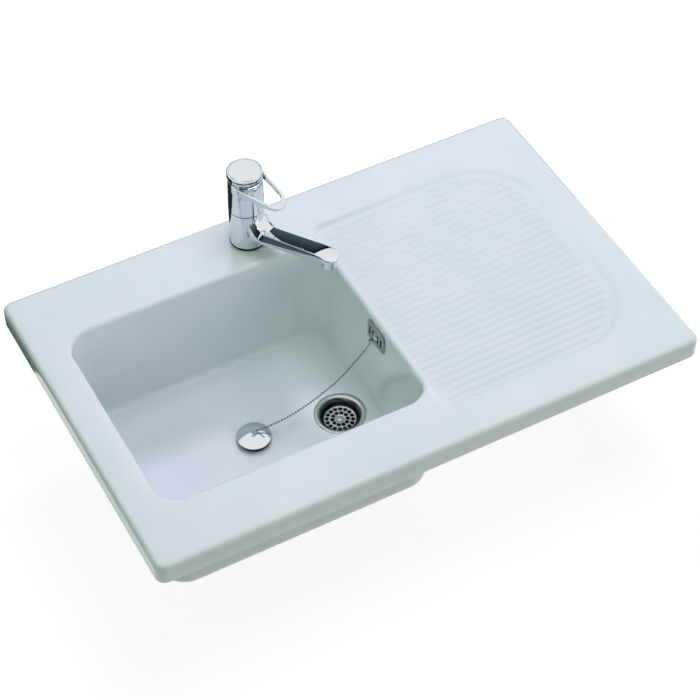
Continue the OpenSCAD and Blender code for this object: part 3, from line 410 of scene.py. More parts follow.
def make_slab():
    """The deck with its recess and ribs, its thickness, rounded corners and rounded upper edge."""
    xs, ys = grid_lines()
    bpy.ops.mesh.primitive_grid_add(x_subdivisions=len(xs) - 1, y_subdivisions=len(ys) - 1, size=2)
    slab = started("ceramic")
    for v in slab.data.vertices:
        x = xs[round((v.co.x + 1) / 2 * (len(xs) - 1))]
        y = ys[round((v.co.y + 1) / 2 * (len(ys) - 1))]
        v.co = Vector((x, y, top_height(x, y))) * MM
    bpy.ops.object.mode_set(mode="EDIT")
    pick_open_edges()
    bpy.ops.mesh.extrude_edges_move(TRANSFORM_OT_translate={"value": (0, 0, -SINK["rim"] * MM)})
    bpy.ops.mesh.edge_face_add()
    pick(slab, "EDGE", lambda e: upright(e) and at_corner(middle(e)))
    bpy.ops.mesh.bevel(offset=SINK["corner"] * MM, segments=8, clamp_overlap=False)
    pick(slab, "EDGE", lambda e: not upright(e) and middle(e).z > SINK["rim"] - 0.1 and at_outline(middle(e)))
    bpy.ops.mesh.bevel(offset=SINK["edge"] * MM, segments=7, clamp_overlap=False)
    pick(slab, "EDGE", lambda e: not upright(e) and middle(e).z < 0.1 and at_outline(middle(e)))
    bpy.ops.mesh.bevel(offset=SINK["foot_edge"] * MM, segments=2, clamp_overlap=False)
    back_to_object()
    hollow = lofted("hollow", [at_z(under_deck(SINK["seat"]), -1),
                               at_z(under_deck(SINK["seat"] + 3), SINK["rim"] - SINK["deck"])])
    return combine(slab, hollow, "DIFFERENCE")


def bowl_outline(grow, r, steps=12):
    return rounded(BOWL["x0"] - grow, BOWL["y0"] - grow, BOWL["x1"] + grow, BOWL["y1"] + grow, r, steps)


def make_bowl_block():
    """The outside of the bowl below the deck, with the boss under the waste."""
    wall, r, straight = BOWL_OUTSIDE["wall"], BOWL_OUTSIDE["r"], BOWL_OUTSIDE["straight"]
    loops = [at_z(bowl_outline(wall, r), BOWL_OUTSIDE["top"])]
    for z in (-60, straight):
        loops.append(at_z(bowl_outline(wall - (SINK["rim"] - z) * LEAN, r), z))
    grow = wall - (SINK["rim"] - straight) * LEAN
    for angle in range(15, 91, 15):
        a = math.radians(angle)
        tucked = 1 - math.cos(a)
        outline = bowl_outline(grow - BOWL_OUTSIDE["fillet"] * tucked, r - (r - BOWL_OUTSIDE["r_foot"]) * tucked)
        loops.append(at_z(outline, straight - 2 - BOWL_OUTSIDE["fillet"] * math.sin(a)))
    boss = turned("boss", [(0, -165), (57, -165), (56, -174), (54, -176.5), (0, -176.5)], 96)
    return combine(lofted("bowl_block", loops), place(boss, at_waste(0)), "UNION")


def bowl_inward(p):
    """The way into the bowl, square to its lip, at a point on the lip's outer edge."""
    inset = BOWL["r"]
    x = min(BOWL["x1"] - inset, max(BOWL["x0"] + inset, p.x))
    y = min(BOWL["y1"] - inset, max(BOWL["y0"] + inset, p.y))
    return -Vector((p.x - x, p.y - y)).normalized()


def open_bowl(slab):
    """Cuts the deck along the lip's outer edge, and draws the lip, walls, fillet and floor down from there."""
    lip, rim, foot, fillet = BOWL["lip"], SINK["rim"], BOWL["foot"], BOWL["fillet"]
    r = BOWL["r"] + lip
    pocket = -60
    outline = bowl_outline(lip, r, 16)
    combine(slab, lofted("pocket", [at_z(outline, pocket), at_z(outline, rim + 4)]), "DIFFERENCE")

    def in_pocket(face):
        p = middle(face)
        inside = inside_by(p.x, p.y, BOWL["x0"] - lip, BOWL["y0"] - lip, BOWL["x1"] + lip, BOWL["y1"] + lip, r, r)
        return pocket - 10 < p.z and inside > -0.15 and (abs(face.normal.z) < 0.3 or p.z < pocket + 1)

    pick(slab, "FACE", in_pocket)
    bpy.ops.mesh.delete(type="FACE")
    pick_open_edges()
    bm = bmesh.from_edit_mesh(slab.data)
    number = number_layer(bm)
    start = []
    for v in bm.verts:
        if v.select:
            v[number] = len(start)
            start.append(v.co / MM)
    bmesh.update_edit_mesh(slab.data)
    inward = [bowl_inward(p) for p in start]

    def ring(inset, height):
        """The start ring moved into the bowl by inset(p) and to height(p)."""
        return [(p.x + n.x * inset(p), p.y + n.y * inset(p), height(p)) for p, n in zip(start, inward)]

    loops = []
    for angle in (12, 24, 36, 48, 60, 72, 84, 90):
        a = math.radians(angle)
        drop = lip * (1 - math.cos(a))
        loops.append(ring(lambda p: lip * math.sin(a) + (rim - p.z + drop) * LEAN * angle / 90, lambda p: p.z - drop))
    for z in (5, -50, -100, foot + fillet):
        loops.append(ring(lambda p: lip + (rim - z) * LEAN, lambda p: z))
    for angle in range(10, 91, 10):
        a = math.radians(angle)
        loops.append(ring(lambda p: lip + (rim - foot) * LEAN + fillet * (1 - math.cos(a)),
                          lambda p: foot + fillet * (1 - math.sin(a))))
    edge = loops[-1]
    for share in (0.12, 0.3, 0.5, 0.7, 0.85):
        loops.append([(x + (WASTE[0] - x) * share, y + (WASTE[1] - y) * share, z - BOWL["fall"] * share)
                      for x, y, z in edge])
    loops.append([(WASTE[0], WASTE[1], foot - BOWL["fall"])] * len(start))
    for loop in loops:
        bpy.ops.mesh.extrude_edges_move()
        follow(slab, loop)
    back_to_object()
    return tidy(slab)


def make_sink():
    slab = make_slab()
    combine(slab, make_bowl_block(), "UNION")
    open_bowl(slab)
    waste_hole = turned("hole", [(0, -185), (31, -185), (31, -170.5), (36.8, -164.5), (41.8, -164.5),
                                 (42.3, -156), (0, -156)], 96)
    tap_hole = turned("tap_hole", [(0, 10), (17.5, 10), (17.5, 40), (0, 40)], 48)
    overflow_hole = block("slots", (-22, -9, 22, 9, 8.9), -7, 6)
    combine(overflow_hole, turned("mouth", [(0, -25), (12, -25), (12, 4), (0, 4)], 48), "UNION")
    holes = join(place(waste_hole, at_waste(0)), place(tap_hole, shift(TAP[0], TAP[1], 0)),
                 place(overflow_hole, overflow_matrix()))
    combine(slab, holes, "DIFFERENCE")
    return smooth(tidy(slab, 0.01), 35)


# Waste
def make_strainer():
    """Pressed sheet: bright rim, funnel, upright wall and a grid with two rings of holes."""
    sheet = turned("strainer", [(0, -14.7), (24.6, -14.7), (27.8, -13.4), (29.6, -11), (29.6, -7.4), (31.4, -4.6),
                                (34.6, -1.9), (36.2, -1.5), (41, -1.5), (41, -0.9), (40.7, -0.4), (40, -0.1),
                                (39, 0), (37.2, 0), (36.2, -0.2), (35.4, -0.7), (33.6, -2), (30.6, -4.6),
                                (28.9, -6.6), (28.5, -7.6), (28.4, -10.4), (27.4, -12), (25.6, -13.1), (24, -13.5),
                                (8.6, -13.5), (7.7, -13.7), (7, -14.1), (0, -14.1)], 96)
    drill = turned("drill", [(0, -18), (3.25, -18), (3.25, -13.8), (3.5, -13.45), (3.6, -12.6), (0, -12.6)], 20)
    spots = []
    for count, radius, first in WASTE_GRID:
        for k in range(count):
            angle = math.radians(first + 360 * k / count)
            spots.append(shift(radius * math.cos(angle), radius * math.sin(angle), 0))
    combine(sheet, repeated(drill, spots), "DIFFERENCE")
    return smooth(place(sheet, at_waste(FLANGE_Z)), 25)


def make_waste_screw():
    """Pan head with a slot, and the shank down to the brass insert."""
    screw = turned("screw", [(0, -11.75), (2.2, -11.7), (4.2, -11.95), (5.3, -12.6), (5.8, -13.5), (5.8, -14.1),
                             (3, -14.1), (3, -42), (2.4, -43.4), (0, -43.4)], 48)
    slot = block("slot", (-7, -0.7, 7, 0.7, 0.3, 3), -12.9, -10)
    combine(screw, place(slot, spin(SCREW_SLOT_AZ)), "DIFFERENCE")
    return smooth(place(screw, at_waste(FLANGE_Z)), 30)


def make_waste_body():
    """Moulded body: flange with grip ribs, chamber with a hub on three webs, neck and a threaded outlet."""
    z0 = WASTE_BODY_Z
    thread = []
    for k in range(THREAD["turns"]):
        z = z0 - THREAD["foot"] + THREAD["pitch"] * k
        thread += [(23.1, z), (23.9, z + 0.9), (23.9, z + 1.3)]
    outline = [(32, z0), (48.6, z0), (49, z0 - 0.5), (49, z0 - 4.4), (48.4, z0 - 5), (36.5, z0 - 5),
               (35, z0 - 6.6), (35, z0 - 33), (34, z0 - 35), (24.6, z0 - 41.4), (23.2, z0 - 42.4)]
    outline += list(reversed(thread))
    outline += [(23.1, z0 - 69.4), (22.6, z0 - 70), (19.9, z0 - 70), (19.9, z0 - 42), (32, z0 - 34), (32, z0)]
    body = turned("waste_body_shell", outline, 96)
    rib = lofted("rib", [at_z(rounded(34, -1.2, out, 1.2, 0.8, 3), z0 - down)
                         for out, down in ((46, 4.5), (44, 9), (36.2, 20))])
    combine(body, repeated(rib, [spin(30 * k) for k in range(12) if k != 1]), "UNION")
    spigot = turned("spigot", [(6.7, 30), (8.4, 30), (8.4, 51), (6.7, 51), (6.7, 30)], 32)
    hub = turned("hub", [(5, z0 - 28), (8, z0 - 28), (8, z0 - 16), (5, z0 - 16), (5, z0 - 28)], 32)
    web = block("web", (7, -2, 33, 2, 0.5, 2), z0 - 28, z0 - 18)
    combine(hub, repeated(web, [spin(angle) for angle in (60, 180, 300)]), "UNION")
    combine(hub, turned("eye", [(0, z0 - 30), (5, z0 - 30), (5, z0 - 14), (0, z0 - 14)], 32), "DIFFERENCE")
    combine(body, hub, "UNION")
    outward = spin(PIPE["az"]) @ shift(0, 0, PIPE["z"]) @ spin(90, "Y")
    combine(body, place(spigot, outward), "UNION")
    mouth = turned("mouth", [(0, 28), (6.7, 28), (6.7, 40), (0, 40)], 32)
    combine(body, place(mouth, outward), "DIFFERENCE")
    return smooth(place(body, at_waste(0)), 30)


def make_grip_nut(name, matrix):
    """Plastic nut with a ribbed grip and a chamfered mouth."""
    nut = turned(name, [(10.5, 0), (13.2, 0), (13.8, 0.6), (13.8, 10.6), (12.6, 12), (10.5, 12), (10.5, 0)], 48)
    grip = block("grip", (13, -0.9, 14.5, 0.9, 0.6, 3), 0.8, 10.2)
    combine(nut, repeated(grip, [spin(22.5 * k) for k in range(16)]), "UNION")
    return place(nut, matrix)


def make_pipe_nuts():
    """The nut on the overflow pipe's top, and the one on its lower end at the waste body."""
    run = at_waste(0) @ spin(PIPE["az"])
    upper = run @ shift(PIPE["run"], 0, PIPE["top"])
    lower = run @ shift(PIPE["nut"], 0, PIPE["z"]) @ spin(90, "Y")
    return smooth(join(make_grip_nut("pipe_nuts", upper), make_grip_nut("pipe_nut_low", lower)), 30)


# Overflow plate on the bowl's right wall
def make_overflow_plate():
    """Pressed plate with rolled edges, four slots and the fin that the chain's ring hangs in."""
    sides = ((24.6, 18.1, 4.7, 1), (25, 18.5, 5, 1.3), (25, 18.5, 5, 2.2), (24.6, 18.1, 4.7, 2.8), (24, 17.5, 4.2, 3))
    plate = lofted("plate", [at_z(rounded(-w, -h, w, h, r, 8), z) for w, h, r, z in sides])
    cutters = []
    for x in (-17, -7, 7, 17):
        sides = ((2, 7.5, 1.9, 0), (2, 7.5, 1.9, 2.5), (2.7, 8.2, 2.6, 3.2))
        cutters.append(lofted("slot", [at_z(rounded(x - w, -h, x + w, h, r, 6), z) for w, h, r, z in sides]))
    cutters.append(turned("bolt_hole", [(0, 0), (2.7, 0), (2.7, 4), (0, 4)], 24))
    combine(plate, join(*cutters), "DIFFERENCE")
    fin = turned("fin", [(1.4, -0.75), (2.7, -0.75), (3, -0.45), (3, 0.45), (2.7, 0.75), (1.4, 0.75),
                         (1.4, -0.75)], 32)
    combine(fin, block("neck", (-2.9, -3.2, 2.9, -1.4, 0.3, 2), -0.7, 0.7), "UNION")
    combine(plate, place(fin, shift(-11, -15.5, 5.5) @ spin(90, "Y") @ spin(90)), "UNION")
    return smooth(place(plate, overflow_matrix()), 30, flat=True)


# Plug
def make_plug_cap():
    """Spun dome with a rolled edge and a small boss for the eyelet."""
    radius, steps = 27.5, 22
    dome = [(radius * k / steps, 6.5 - 6.0 * (k / steps) ** 2.1) for k in range(2, steps)]
    cap = turned("plug_cap", [(0, 7.4), (1.9, 7.4), (2.3, 7.1), (2.5, 6.6)] + [p for p in dome if p[0] > 3]
                 + [(27.2, 0.75), (27.45, 0.45), (27.45, 0.15), (27.2, 0), (0, 0)], 96)
    return smooth(place(cap, at_plug(CAP_Z)), 35)


def make_plug_rubber():
    """Tapered rubber with sealing ridges and a lip under the cap."""
    rubber = turned("plug_rubber", [(0, 0), (23.8, 0), (24.5, 0.3), (24.8, 0.9), (25.1, 2.2), (25.8, 2.6),
                                    (25.8, 3.1), (25.4, 3.5), (25.8, 4.6), (26.5, 5), (26.5, 5.5), (26.1, 5.9),
                                    (26.5, 6.8), (27.2, 7.2), (27.4, 7.7), (27.4, 8.6), (27.1, 9), (0, 9)], 96)
    return smooth(place(rubber, at_plug(CAP_Z - 9)), 40)


# Tap
def make_tap_base():
    """Ring on the deck that the spout turns above."""
    ring = turned("tap_foot", [(20, 2), (28.3, 2), (28.6, 2.3), (28.6, 5.4), (28.3, 6), (27.7, 6.3), (27.5, 7),
                               (20, 7), (20, 2)], 96)
    return smooth(place(ring, at_tap(0)), 30)


def make_sleeve():
    """Shell round the cartridge, a little narrower at its top."""
    sleeve = turned("sleeve", [(23.3, 72.8), (27.8, 72.8), (28.2, 73.2), (27.5, 102), (26.85, 130.8),
                               (26.4, 131.9), (24.9, 133.3), (23.3, 133.4), (23.3, 72.8)], 128)
    return smooth(place(sleeve, at_tap(0)), 30)


def spout_section(x):
    """Outline across the spout: flat crown, a facet on each shoulder that narrows to the tip, round underside."""
    foot, reach = SPOUT["foot"], SPOUT["reach"]
    share = min(1, (x - foot) / (reach - foot))
    half = SPOUT["root_half"] + (SPOUT["tip_half"] - SPOUT["root_half"]) * share
    line = SPOUT["root_h"] + (SPOUT["tip_h"] - SPOUT["root_h"]) * share
    fairing = SPOUT["fair_h"] * (1 - min(1, max(0, x - SPOUT["fair_x"]) / SPOUT["fair_l"])) ** 2.2
    bow = max(0, (x - reach + SPOUT["bow_l"]) / (SPOUT["bow_l"] + SPOUT["tip_half"]))
    top, under = line + fairing - SPOUT["bow_h"] * bow ** 2, line - SPOUT["thick"]
    past = max(0, x - reach) / SPOUT["tip_half"]
    half *= math.sqrt(max(0.02, 1 - past * past))
    facet = min(half * 0.45, 1.6 + 7.4 * (1 - share) ** 0.8)
    inner, shoulder = half - facet, top - facet * 0.95
    low = min(5, half * 0.4)
    right = [(0, under), (half * 0.5, under)]
    right += [(half - low + low * math.sin(a), under + low - low * math.cos(a)) for a in (0, 0.4, 0.8, 1.2, 1.5708)]
    right += [(half, shoulder - 1.2), (half - 0.05, shoulder - 0.4), (half - 0.35, shoulder + 0.2)]
    right += [(inner + 0.9, top - 0.75), (inner + 0.35, top - 0.3), (inner - 0.5, top - 0.05),
              (inner * 0.5, top + 0.35)]
    ring = right + [(0, top + 0.5)] + [(-y, z) for y, z in reversed(right[1:])]
    return [(x, y, z) for y, z in ring]


def make_spout():
    """Ring round the tap's column and the arm that rises from it to a round tip."""
    stations = [23.5, 26, 28.5, 31, 33.5, 36, 38.5, 41, 43.5, 46, 49, 54, 62, 75, 90, 105, 120, 132, 141, 146, 150,
                154, 158, 161, SPOUT["reach"]]
    stations += [SPOUT["reach"] + SPOUT["tip_half"] * 0.99 * math.sin(math.radians(a))
                 for a in (8, 16, 24, 33, 42, 51, 60, 69, 78, 90)]
    arm = lofted("arm", [spout_section(x) for x in stations])
    ring = turned("spout", [(20, 7.4), (27.9, 7.4), (28.2, 7.8), (28.2, 71.5), (27.9, 72), (20, 72), (20, 7.4)], 128)
    combine(ring, arm, "UNION")
    return smooth(place(ring, at_tap(SPOUT["az"])), 28, flat=True)


def make_aerator():
    """Housing with a knurled collar and a mouth."""
    z = SPOUT["tip_h"] - SPOUT["thick"]
    housing = turned("aerator", [(9.4, z), (11.6, z), (12, z - 0.4), (12, z - 2.4), (11.6, z - 2.8), (11.6, z - 3.2),
                                 (12, z - 3.6), (12, z - 9.6), (11.5, z - 10.6), (10.9, z - 11), (9.4, z - 11),
                                 (9.4, z)], 72)
    flute = block("flute", (11.7, -0.35, 12.6, 0.35, 0.3, 2), z - 9, z - 4)
    combine(housing, repeated(flute, [spin(10 * k) for k in range(36)]), "DIFFERENCE")
    return smooth(place(housing, at_tap(SPOUT["az"]) @ shift(SPOUT["reach"], 0, 0)), 30)


def loop_line(r_axis, r_end, end_x):
    """The loop's outline from its left root round the tip to its right root, as seen from above."""
    lean = math.asin((r_axis - r_end) / end_x)
    first = math.pi / 2 - lean
    start = math.acos(-LOOP["back"] / r_axis)
    arm = [(r_axis * math.cos(a), r_axis * math.sin(a)) for a in (start, (start + first) / 2, first)]
    (x0, y0), (x1, y1) = arm[-1], (end_x + r_end * math.cos(first), r_end * math.sin(first))
    arm += [(x0 + (x1 - x0) * k / 6, y0 + (y1 - y0) * k / 6) for k in range(1, 6)]
    round_tip = [first * (1 - k / 10) for k in range(11)]
    half = arm + [(end_x + r_end * math.cos(a), r_end * math.sin(a)) for a in round_tip]
    return [(x, -y) for x, y in half] + [(x, y) for x, y in reversed(half[:-1])]


def loop_section(inner, outer):
    """Blade between an inner and an outer point: its top slopes down to the tip and it thins out there."""
    tops = [LOOP["top"] - p[0] * LOOP["slope"] for p in (inner, outer)]
    lows = [min(LOOP["root"] - p[0] * LOOP["fall"], top - LOOP["least"]) for p, top in zip((inner, outer), tops)]
    ring = []
    for share, on_top, lift in BLADE:
        z_in, z_out = tops if on_top else lows
        ring.append((inner[0] + (outer[0] - inner[0]) * share, inner[1] + (outer[1] - inner[1]) * share,
                     z_in + (z_out - z_in) * share + lift))
    return ring


def make_lever():
    """Cap with two fine grooves, the looped lever that grows from its skirt, and the hub on the stem."""
    cap = turned("lever", [(0, 142.6), (24.6, 142.6), (25.5, 141.7), (25.5, 134.4), (27.3, 134.4), (27.7, 134.8),
                           (27.7, 135.8), (26.4, 136.2), (26.4, 137.8), (27.7, 138.2), (27.7, 142.1), (26.4, 142.4),
                           (26.4, 143.9), (27.7, 144.2), (27.7, 145.6), (27.5, 146.3), (26.9, 146.8), (26.1, 147),
                           (25.2, 146.9), (24.8, 146.6), (24.7, 146), (0, 146)], 128)
    combine(cap, turned("hub", [(0, 122.4), (8.1, 122.4), (8.5, 122.8), (8.5, 143.5), (0, 143.5)], 48), "UNION")
    inner = loop_line(LOOP["r_in"], LOOP["tip_in"], LOOP["x_in"])
    outer = loop_line(LOOP["r_in"] + LOOP["width"], LOOP["tip_out"], LOOP["x_out"])
    combine(cap, lofted("blade", [loop_section(a, b) for a, b in zip(inner, outer)]), "UNION")
    for y in (-28.3, 28.3):
        combine(cap, block("lug", (-4, y - 1.6, 8, y + 1.6, 0.6, 3), 134.6, 140.2), "UNION")
    bore = block("bore", (-3.9, -3.9, 3.9, 3.9, 0.2, 2), 120, 138.6)
    screw_way = turned("screw_way", [(0, 0), (2.6, 0), (2.6, 10), (0, 10)], 24)
    place(screw_way, shift(-12, 0, 128.4) @ spin(90, "Y"))
    combine(cap, join(bore, screw_way), "DIFFERENCE")
    return smooth(place(cap, at_tap(LEVER_AZ)), 30, flat=True)


def make_cap_disc():
    """Slightly domed disc let into the cap's top."""
    dome = [(24.2 * (1 - k / 10), 146.9 + 1.1 * math.sin(math.radians(9 * k))) for k in range(1, 11)]
    disc = turned("cap_disc", [(0, 146), (24.6, 146), (24.6, 146.5), (24.2, 146.9)] + dome, 96)
    return smooth(place(disc, at_tap(LEVER_AZ)), 30)


# Materials
def colour(code):
    """sRGB hex to linear."""
    parts = [int(code[k:k + 2], 16) / 255 for k in (1, 3, 5)]
    return [c / 12.92 if c <= 0.04045 else ((c + 0.055) / 1.055) ** 2.4 for c in parts] + [1.0]


def add(tree, kind, settings=None, links=None, **inputs):
    """Adds a node. settings are its properties, inputs its socket values, links the sockets that feed it."""
    node = tree.nodes.new("ShaderNode" + kind)
    for key, value in (settings or {}).items():
        setattr(node, key, value)
    for key, value in inputs.items():
        node.inputs[key.replace("_", " ")].default_value = value
    for key, source in (links or {}).items():
        tree.links.new(source, node.inputs[key])
    return node


def begin_material(name, base, roughness, metallic=0.0, **inputs):
    mat = bpy.data.materials.new(name)
    mat.use_nodes = True
    tree = mat.node_tree
    shader = tree.nodes["Principled BSDF"]
    shader.inputs["Base Color"].default_value = colour(base)
    shader.inputs["Roughness"].default_value = roughness
    shader.inputs["Metallic"].default_value = metallic
    for key, value in inputs.items():
        shader.inputs[key.replace("_", " ")].default_value = value
    where = add(tree, "TexCoord").outputs["Object"]
    return mat, tree, shader, where


def blotches(tree, where, size_mm, detail=3.0, rough=0.5):
    """Soft noise whose blotches are about that size."""
    return add(tree, "TexNoise", {"noise_dimensions": "3D"}, {"Vector": where},
               Scale=1.0 / (size_mm * MM), Detail=detail, Roughness=rough).outputs["Fac"]


def shades(tree, factor, stops):
    """A colour ramp from a factor, with stops of position and hex colour."""
    ramp = add(tree, "ValToRGB", None, {"Fac": factor})
    line = ramp.color_ramp
    while len(line.elements) < len(stops):
        line.elements.new(0.5)
    for element, (position, code) in zip(line.elements, stops):
        element.position = position
        element.color = colour(code)
    return ramp.outputs["Color"]


def tint(tree, shader, factor, *stops):
    """Base colour that follows a factor through those stops."""
    tree.links.new(shades(tree, factor, stops), shader.inputs["Base Color"])


def sheen(tree, shader, factor, low, high):
    """Roughness that runs from low to high as a factor runs from 0 to 1."""
    spread = add(tree, "MapRange", None, {"Value": factor}, To_Min=low, To_Max=high).outputs["Result"]
    tree.links.new(spread, shader.inputs["Roughness"])


def relief(tree, shader, height, depth_mm):
    """A bump of that depth in mm."""
    bump = add(tree, "Bump", None, {"Height": height}, Strength=1.0, Distance=depth_mm * MM)
    tree.links.new(bump.outputs["Normal"], shader.inputs["Normal"])


def glazed_stoneware():
    # Fired white glaze over stoneware: glossy, a little uneven in level, faintly blue where it pools
    mat, tree, shader, where = begin_material("glazed_stoneware", "#e4ecef", 0.16, IOR=1.52, Coat_Weight=0.25,
                                              Coat_Roughness=0.05)
    tint(tree, shader, blotches(tree, where, 90, 4), (0.3, "#e1eaed"), (0.5, "#e4ecef"), (0.7, "#e8eef0"))
    sheen(tree, shader, blotches(tree, where, 25), 0.13, 0.2)
    relief(tree, shader, blotches(tree, where, 14, 2), 0.12)
    return mat


def chrome_plate():
    # Chrome plate on polished brass: a mirror with a slightly blue cast and the casting's faint waves
    mat, tree, shader, where = begin_material("chrome_plate", "#dfe4e8", 0.04, 1.0)
    sheen(tree, shader, blotches(tree, where, 8), 0.03, 0.07)
    relief(tree, shader, blotches(tree, where, 22, 1), 0.035)
    return mat


def shaded_lime_marked_chrome():
    # Chrome plate whose base colour is greyer than on the tap as painted shade, so that it reflects darker; softer
    # than on the tap, as water and soap dull it, with faint lime marks
    mat, tree, shader, where = begin_material("shaded_lime_marked_chrome", "#a2adac", 0.3, 1.0)
    marks = blotches(tree, where, 5, 4, 0.6)
    tint(tree, shader, marks, (0.35, "#8b9796"), (0.6, "#a9b3b2"))
    sheen(tree, shader, marks, 0.22, 0.42)
    return mat


def pressed_stainless(name="pressed_stainless", painted_shade=()):
    # Stainless sheet, pressed and buffed: bright, with a fine round grain
    mat, tree, shader, where = begin_material(name, "#c9ccce", 0.2, 1.0)
    # Given stops, the colour follows them by height: painted shade and painted dark reflection
    if painted_shade:
        z = add(tree, "SeparateXYZ", None, {"Vector": where}).outputs["Z"]
        height = add(tree, "MapRange", None, {"Value": z}, From_Min=(FLANGE_Z - 15) * MM, From_Max=FLANGE_Z * MM)
        tint(tree, shader, height.outputs["Result"], *painted_shade)
    sheen(tree, shader, blotches(tree, where, 0.9, 5, 0.7), 0.14, 0.3)
    relief(tree, shader, blotches(tree, where, 6, 2), 0.03)
    return mat


def strainer_steel():
    # The same sheet drawn into a cup: the cup's wall is painted dark, as painted shade and painted dark reflection,
    # the rim and the grid are buffed bright.
    # The stops go from 15 mm below the flange up to it
    return pressed_stainless("drawn_stainless", [(0.0, "#c9ccce"), (0.11, "#c9ccce"), (0.16, "#23292a"),
                                                 (0.62, "#39403f"), (0.85, "#6c7474"), (0.93, "#cdd1d2")])


def plated_beads():
    # Nickel-plated beads, dark and a little dull from handling
    mat, tree, shader, where = begin_material("plated_beads", "#7d8587", 0.24, 1.0)
    tint(tree, shader, blotches(tree, where, 3), (0.35, "#5f676a"), (0.65, "#8e9699"))
    sheen(tree, shader, blotches(tree, where, 1.5), 0.16, 0.34)
    return mat


def black_rubber():
    # Moulded nitrile rubber: nearly black, matt, with a fine bloom
    mat, tree, shader, where = begin_material("black_rubber", "#1c1e1f", 0.6, Specular_IOR_Level=0.4)
    tint(tree, shader, blotches(tree, where, 5), (0.35, "#17191a"), (0.7, "#26292a"))
    relief(tree, shader, blotches(tree, where, 0.7, 3), 0.04)
    return mat


def moulded_plastic(name, low, high, roughness):
    # Injection-moulded plastic: even colour, a soft sheen and the mould's fine texture
    mat, tree, shader, where = begin_material(name, high, roughness, IOR=1.49)
    tint(tree, shader, blotches(tree, where, 18), (0.3, low), (0.7, high))
    sheen(tree, shader, blotches(tree, where, 1.2), roughness - 0.05, roughness + 0.08)
    relief(tree, shader, blotches(tree, where, 0.8, 2), 0.02)
    return mat


def turned_metal(name, low, high, roughness, grain_mm=0.6):
    # Turned or drawn metal: colour drifts a little with tarnish, and fine grooves run round it
    mat, tree, shader, where = begin_material(name, high, roughness, 1.0)
    tint(tree, shader, blotches(tree, where, 12, 4), (0.3, low), (0.7, high))
    stretch = add(tree, "Mapping", None, {"Vector": where}, Scale=(0.15, 0.15, 1.0)).outputs["Vector"]
    grooves = blotches(tree, stretch, grain_mm, 2)
    sheen(tree, shader, grooves, roughness - 0.06, roughness + 0.1)
    relief(tree, shader, grooves, 0.015)
    return mat


FINISH = {
    "stoneware": glazed_stoneware(),
    "chrome": chrome_plate(),
    "stainless": pressed_stainless(),
    "chain_metal": plated_beads(),
    "rubber": black_rubber(),
    "white_plastic": moulded_plastic("white_polypropylene", "#e2e4e3", "#edefee", 0.34),
    "grey_plastic": moulded_plastic("grey_acetal", "#8c9194", "#9ba0a3", 0.4),
    "acetal": moulded_plastic("natural_acetal", "#e7e4d8", "#f1efe6", 0.3),
    "brass": turned_metal("turned_brass", "#a98c4f", "#c4a968", 0.26),
    "copper": turned_metal("drawn_copper", "#a0603c", "#c07c55", 0.28, 1.5),
    "zinc_steel": turned_metal("zinc_plated_steel", "#9da2a5", "#bcc0c2", 0.32),
    "disc_ceramic": moulded_plastic("lapped_alumina", "#efefeb", "#f7f7f4", 0.12),
}


# Ball chain: beads on a wire along the solid's route, from the clasp to the plug's eyelet
CHAIN = [(28, 267, -38), (21, 268, -46), (14, 268, -54), (6, 269, -62), (-1, 269, -70), (-8, 270, -78),
         (-16, 271, -86), (-25, 271, -93), (-35, 272, -100), (-45, 273, -106), (-55, 273, -112), (-66, 274, -118),
         (-78, 275, -124), (-91, 276, -130), (-105, 277, -135), (-118, 278, -138), (-130, 279, -140),
         (-140, 279, -141), (-150, 280, -142), (-158, 281, -142)]
BEAD = dict(d=3.2, pitch=4.8, wire=0.8)


def along(points, pitch):
    """Points at an even pitch along a line of points, from its first to its last, and the line's length."""
    line = [Vector(p) for p in points]
    total = sum((b - a).length for a, b in zip(line, line[1:]))
    count = round(total / pitch)
    spots, gone, k = [], 0.0, 0
    for n in range(count + 1):
        want = total * n / count
        while k < len(line) - 2 and gone + (line[k + 1] - line[k]).length < want:
            gone += (line[k + 1] - line[k]).length
            k += 1
        step = line[k + 1] - line[k]
        spots.append(line[k] + step * min(1, (want - gone) / step.length))
    return spots, total


def make_chain():
    spots, total = along(CHAIN, BEAD["pitch"])
    bpy.ops.mesh.primitive_uv_sphere_add(segments=14, ring_count=9, radius=BEAD["d"] / 2 * MM)
    bead = started("bead")
    bpy.ops.mesh.primitive_cylinder_add(vertices=6, radius=BEAD["wire"] / 2 * MM, depth=BEAD["pitch"] * MM)
    link = started("link")
    beads = []
    for k, spot in enumerate(spots):
        beads.append(copied(bead, f"bead_{k}", Matrix.Translation(spot * MM)))
        if k:
            half = (spots[k] + spots[k - 1]) / 2
            turn = (spots[k] - spots[k - 1]).to_track_quat("Z", "Y").to_matrix().to_4x4()
            beads.append(copied(link, f"link_{k}", Matrix.Translation(half * MM) @ turn))
    bpy.data.objects.remove(bead)
    bpy.data.objects.remove(link)
    chain = join(*beads)
    chain.name = chain.data.name = "ball_chain_beads"
    smooth(chain, 60)
    chain.data.materials.append(FINISH["chain_metal"])
    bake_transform(chain)
    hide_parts("ball_chain")


# Pieces, each with its finish, its body and the solid that it stands for
def dress(obj, slot, body, node):
    obj.data.materials.clear()
    obj.data.materials.append(FINISH[slot])
    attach(obj, body)
    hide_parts(node)
    return obj


def paint_shade_black(obj, test):
    """Paints a piece's faces for which the test holds black, with a second finish: painted shade where they lie in
    shade.
    """
    obj.data.materials.append(FINISH["rubber"])
    for face in obj.data.polygons:
        if test(face):
            face.material_index = 1


def in_shaded_chamber(face):
    """The inner walls of the waste body, painted black below the grid as painted shade."""
    at = face.center / MM
    out = Vector((at.x - WASTE[0], at.y - WASTE[1], 0))
    return math.hypot(out.x, out.y) < 32.3 and at.z < WASTE_BODY_Z - 0.3 and face.normal.dot(out) < 0.5


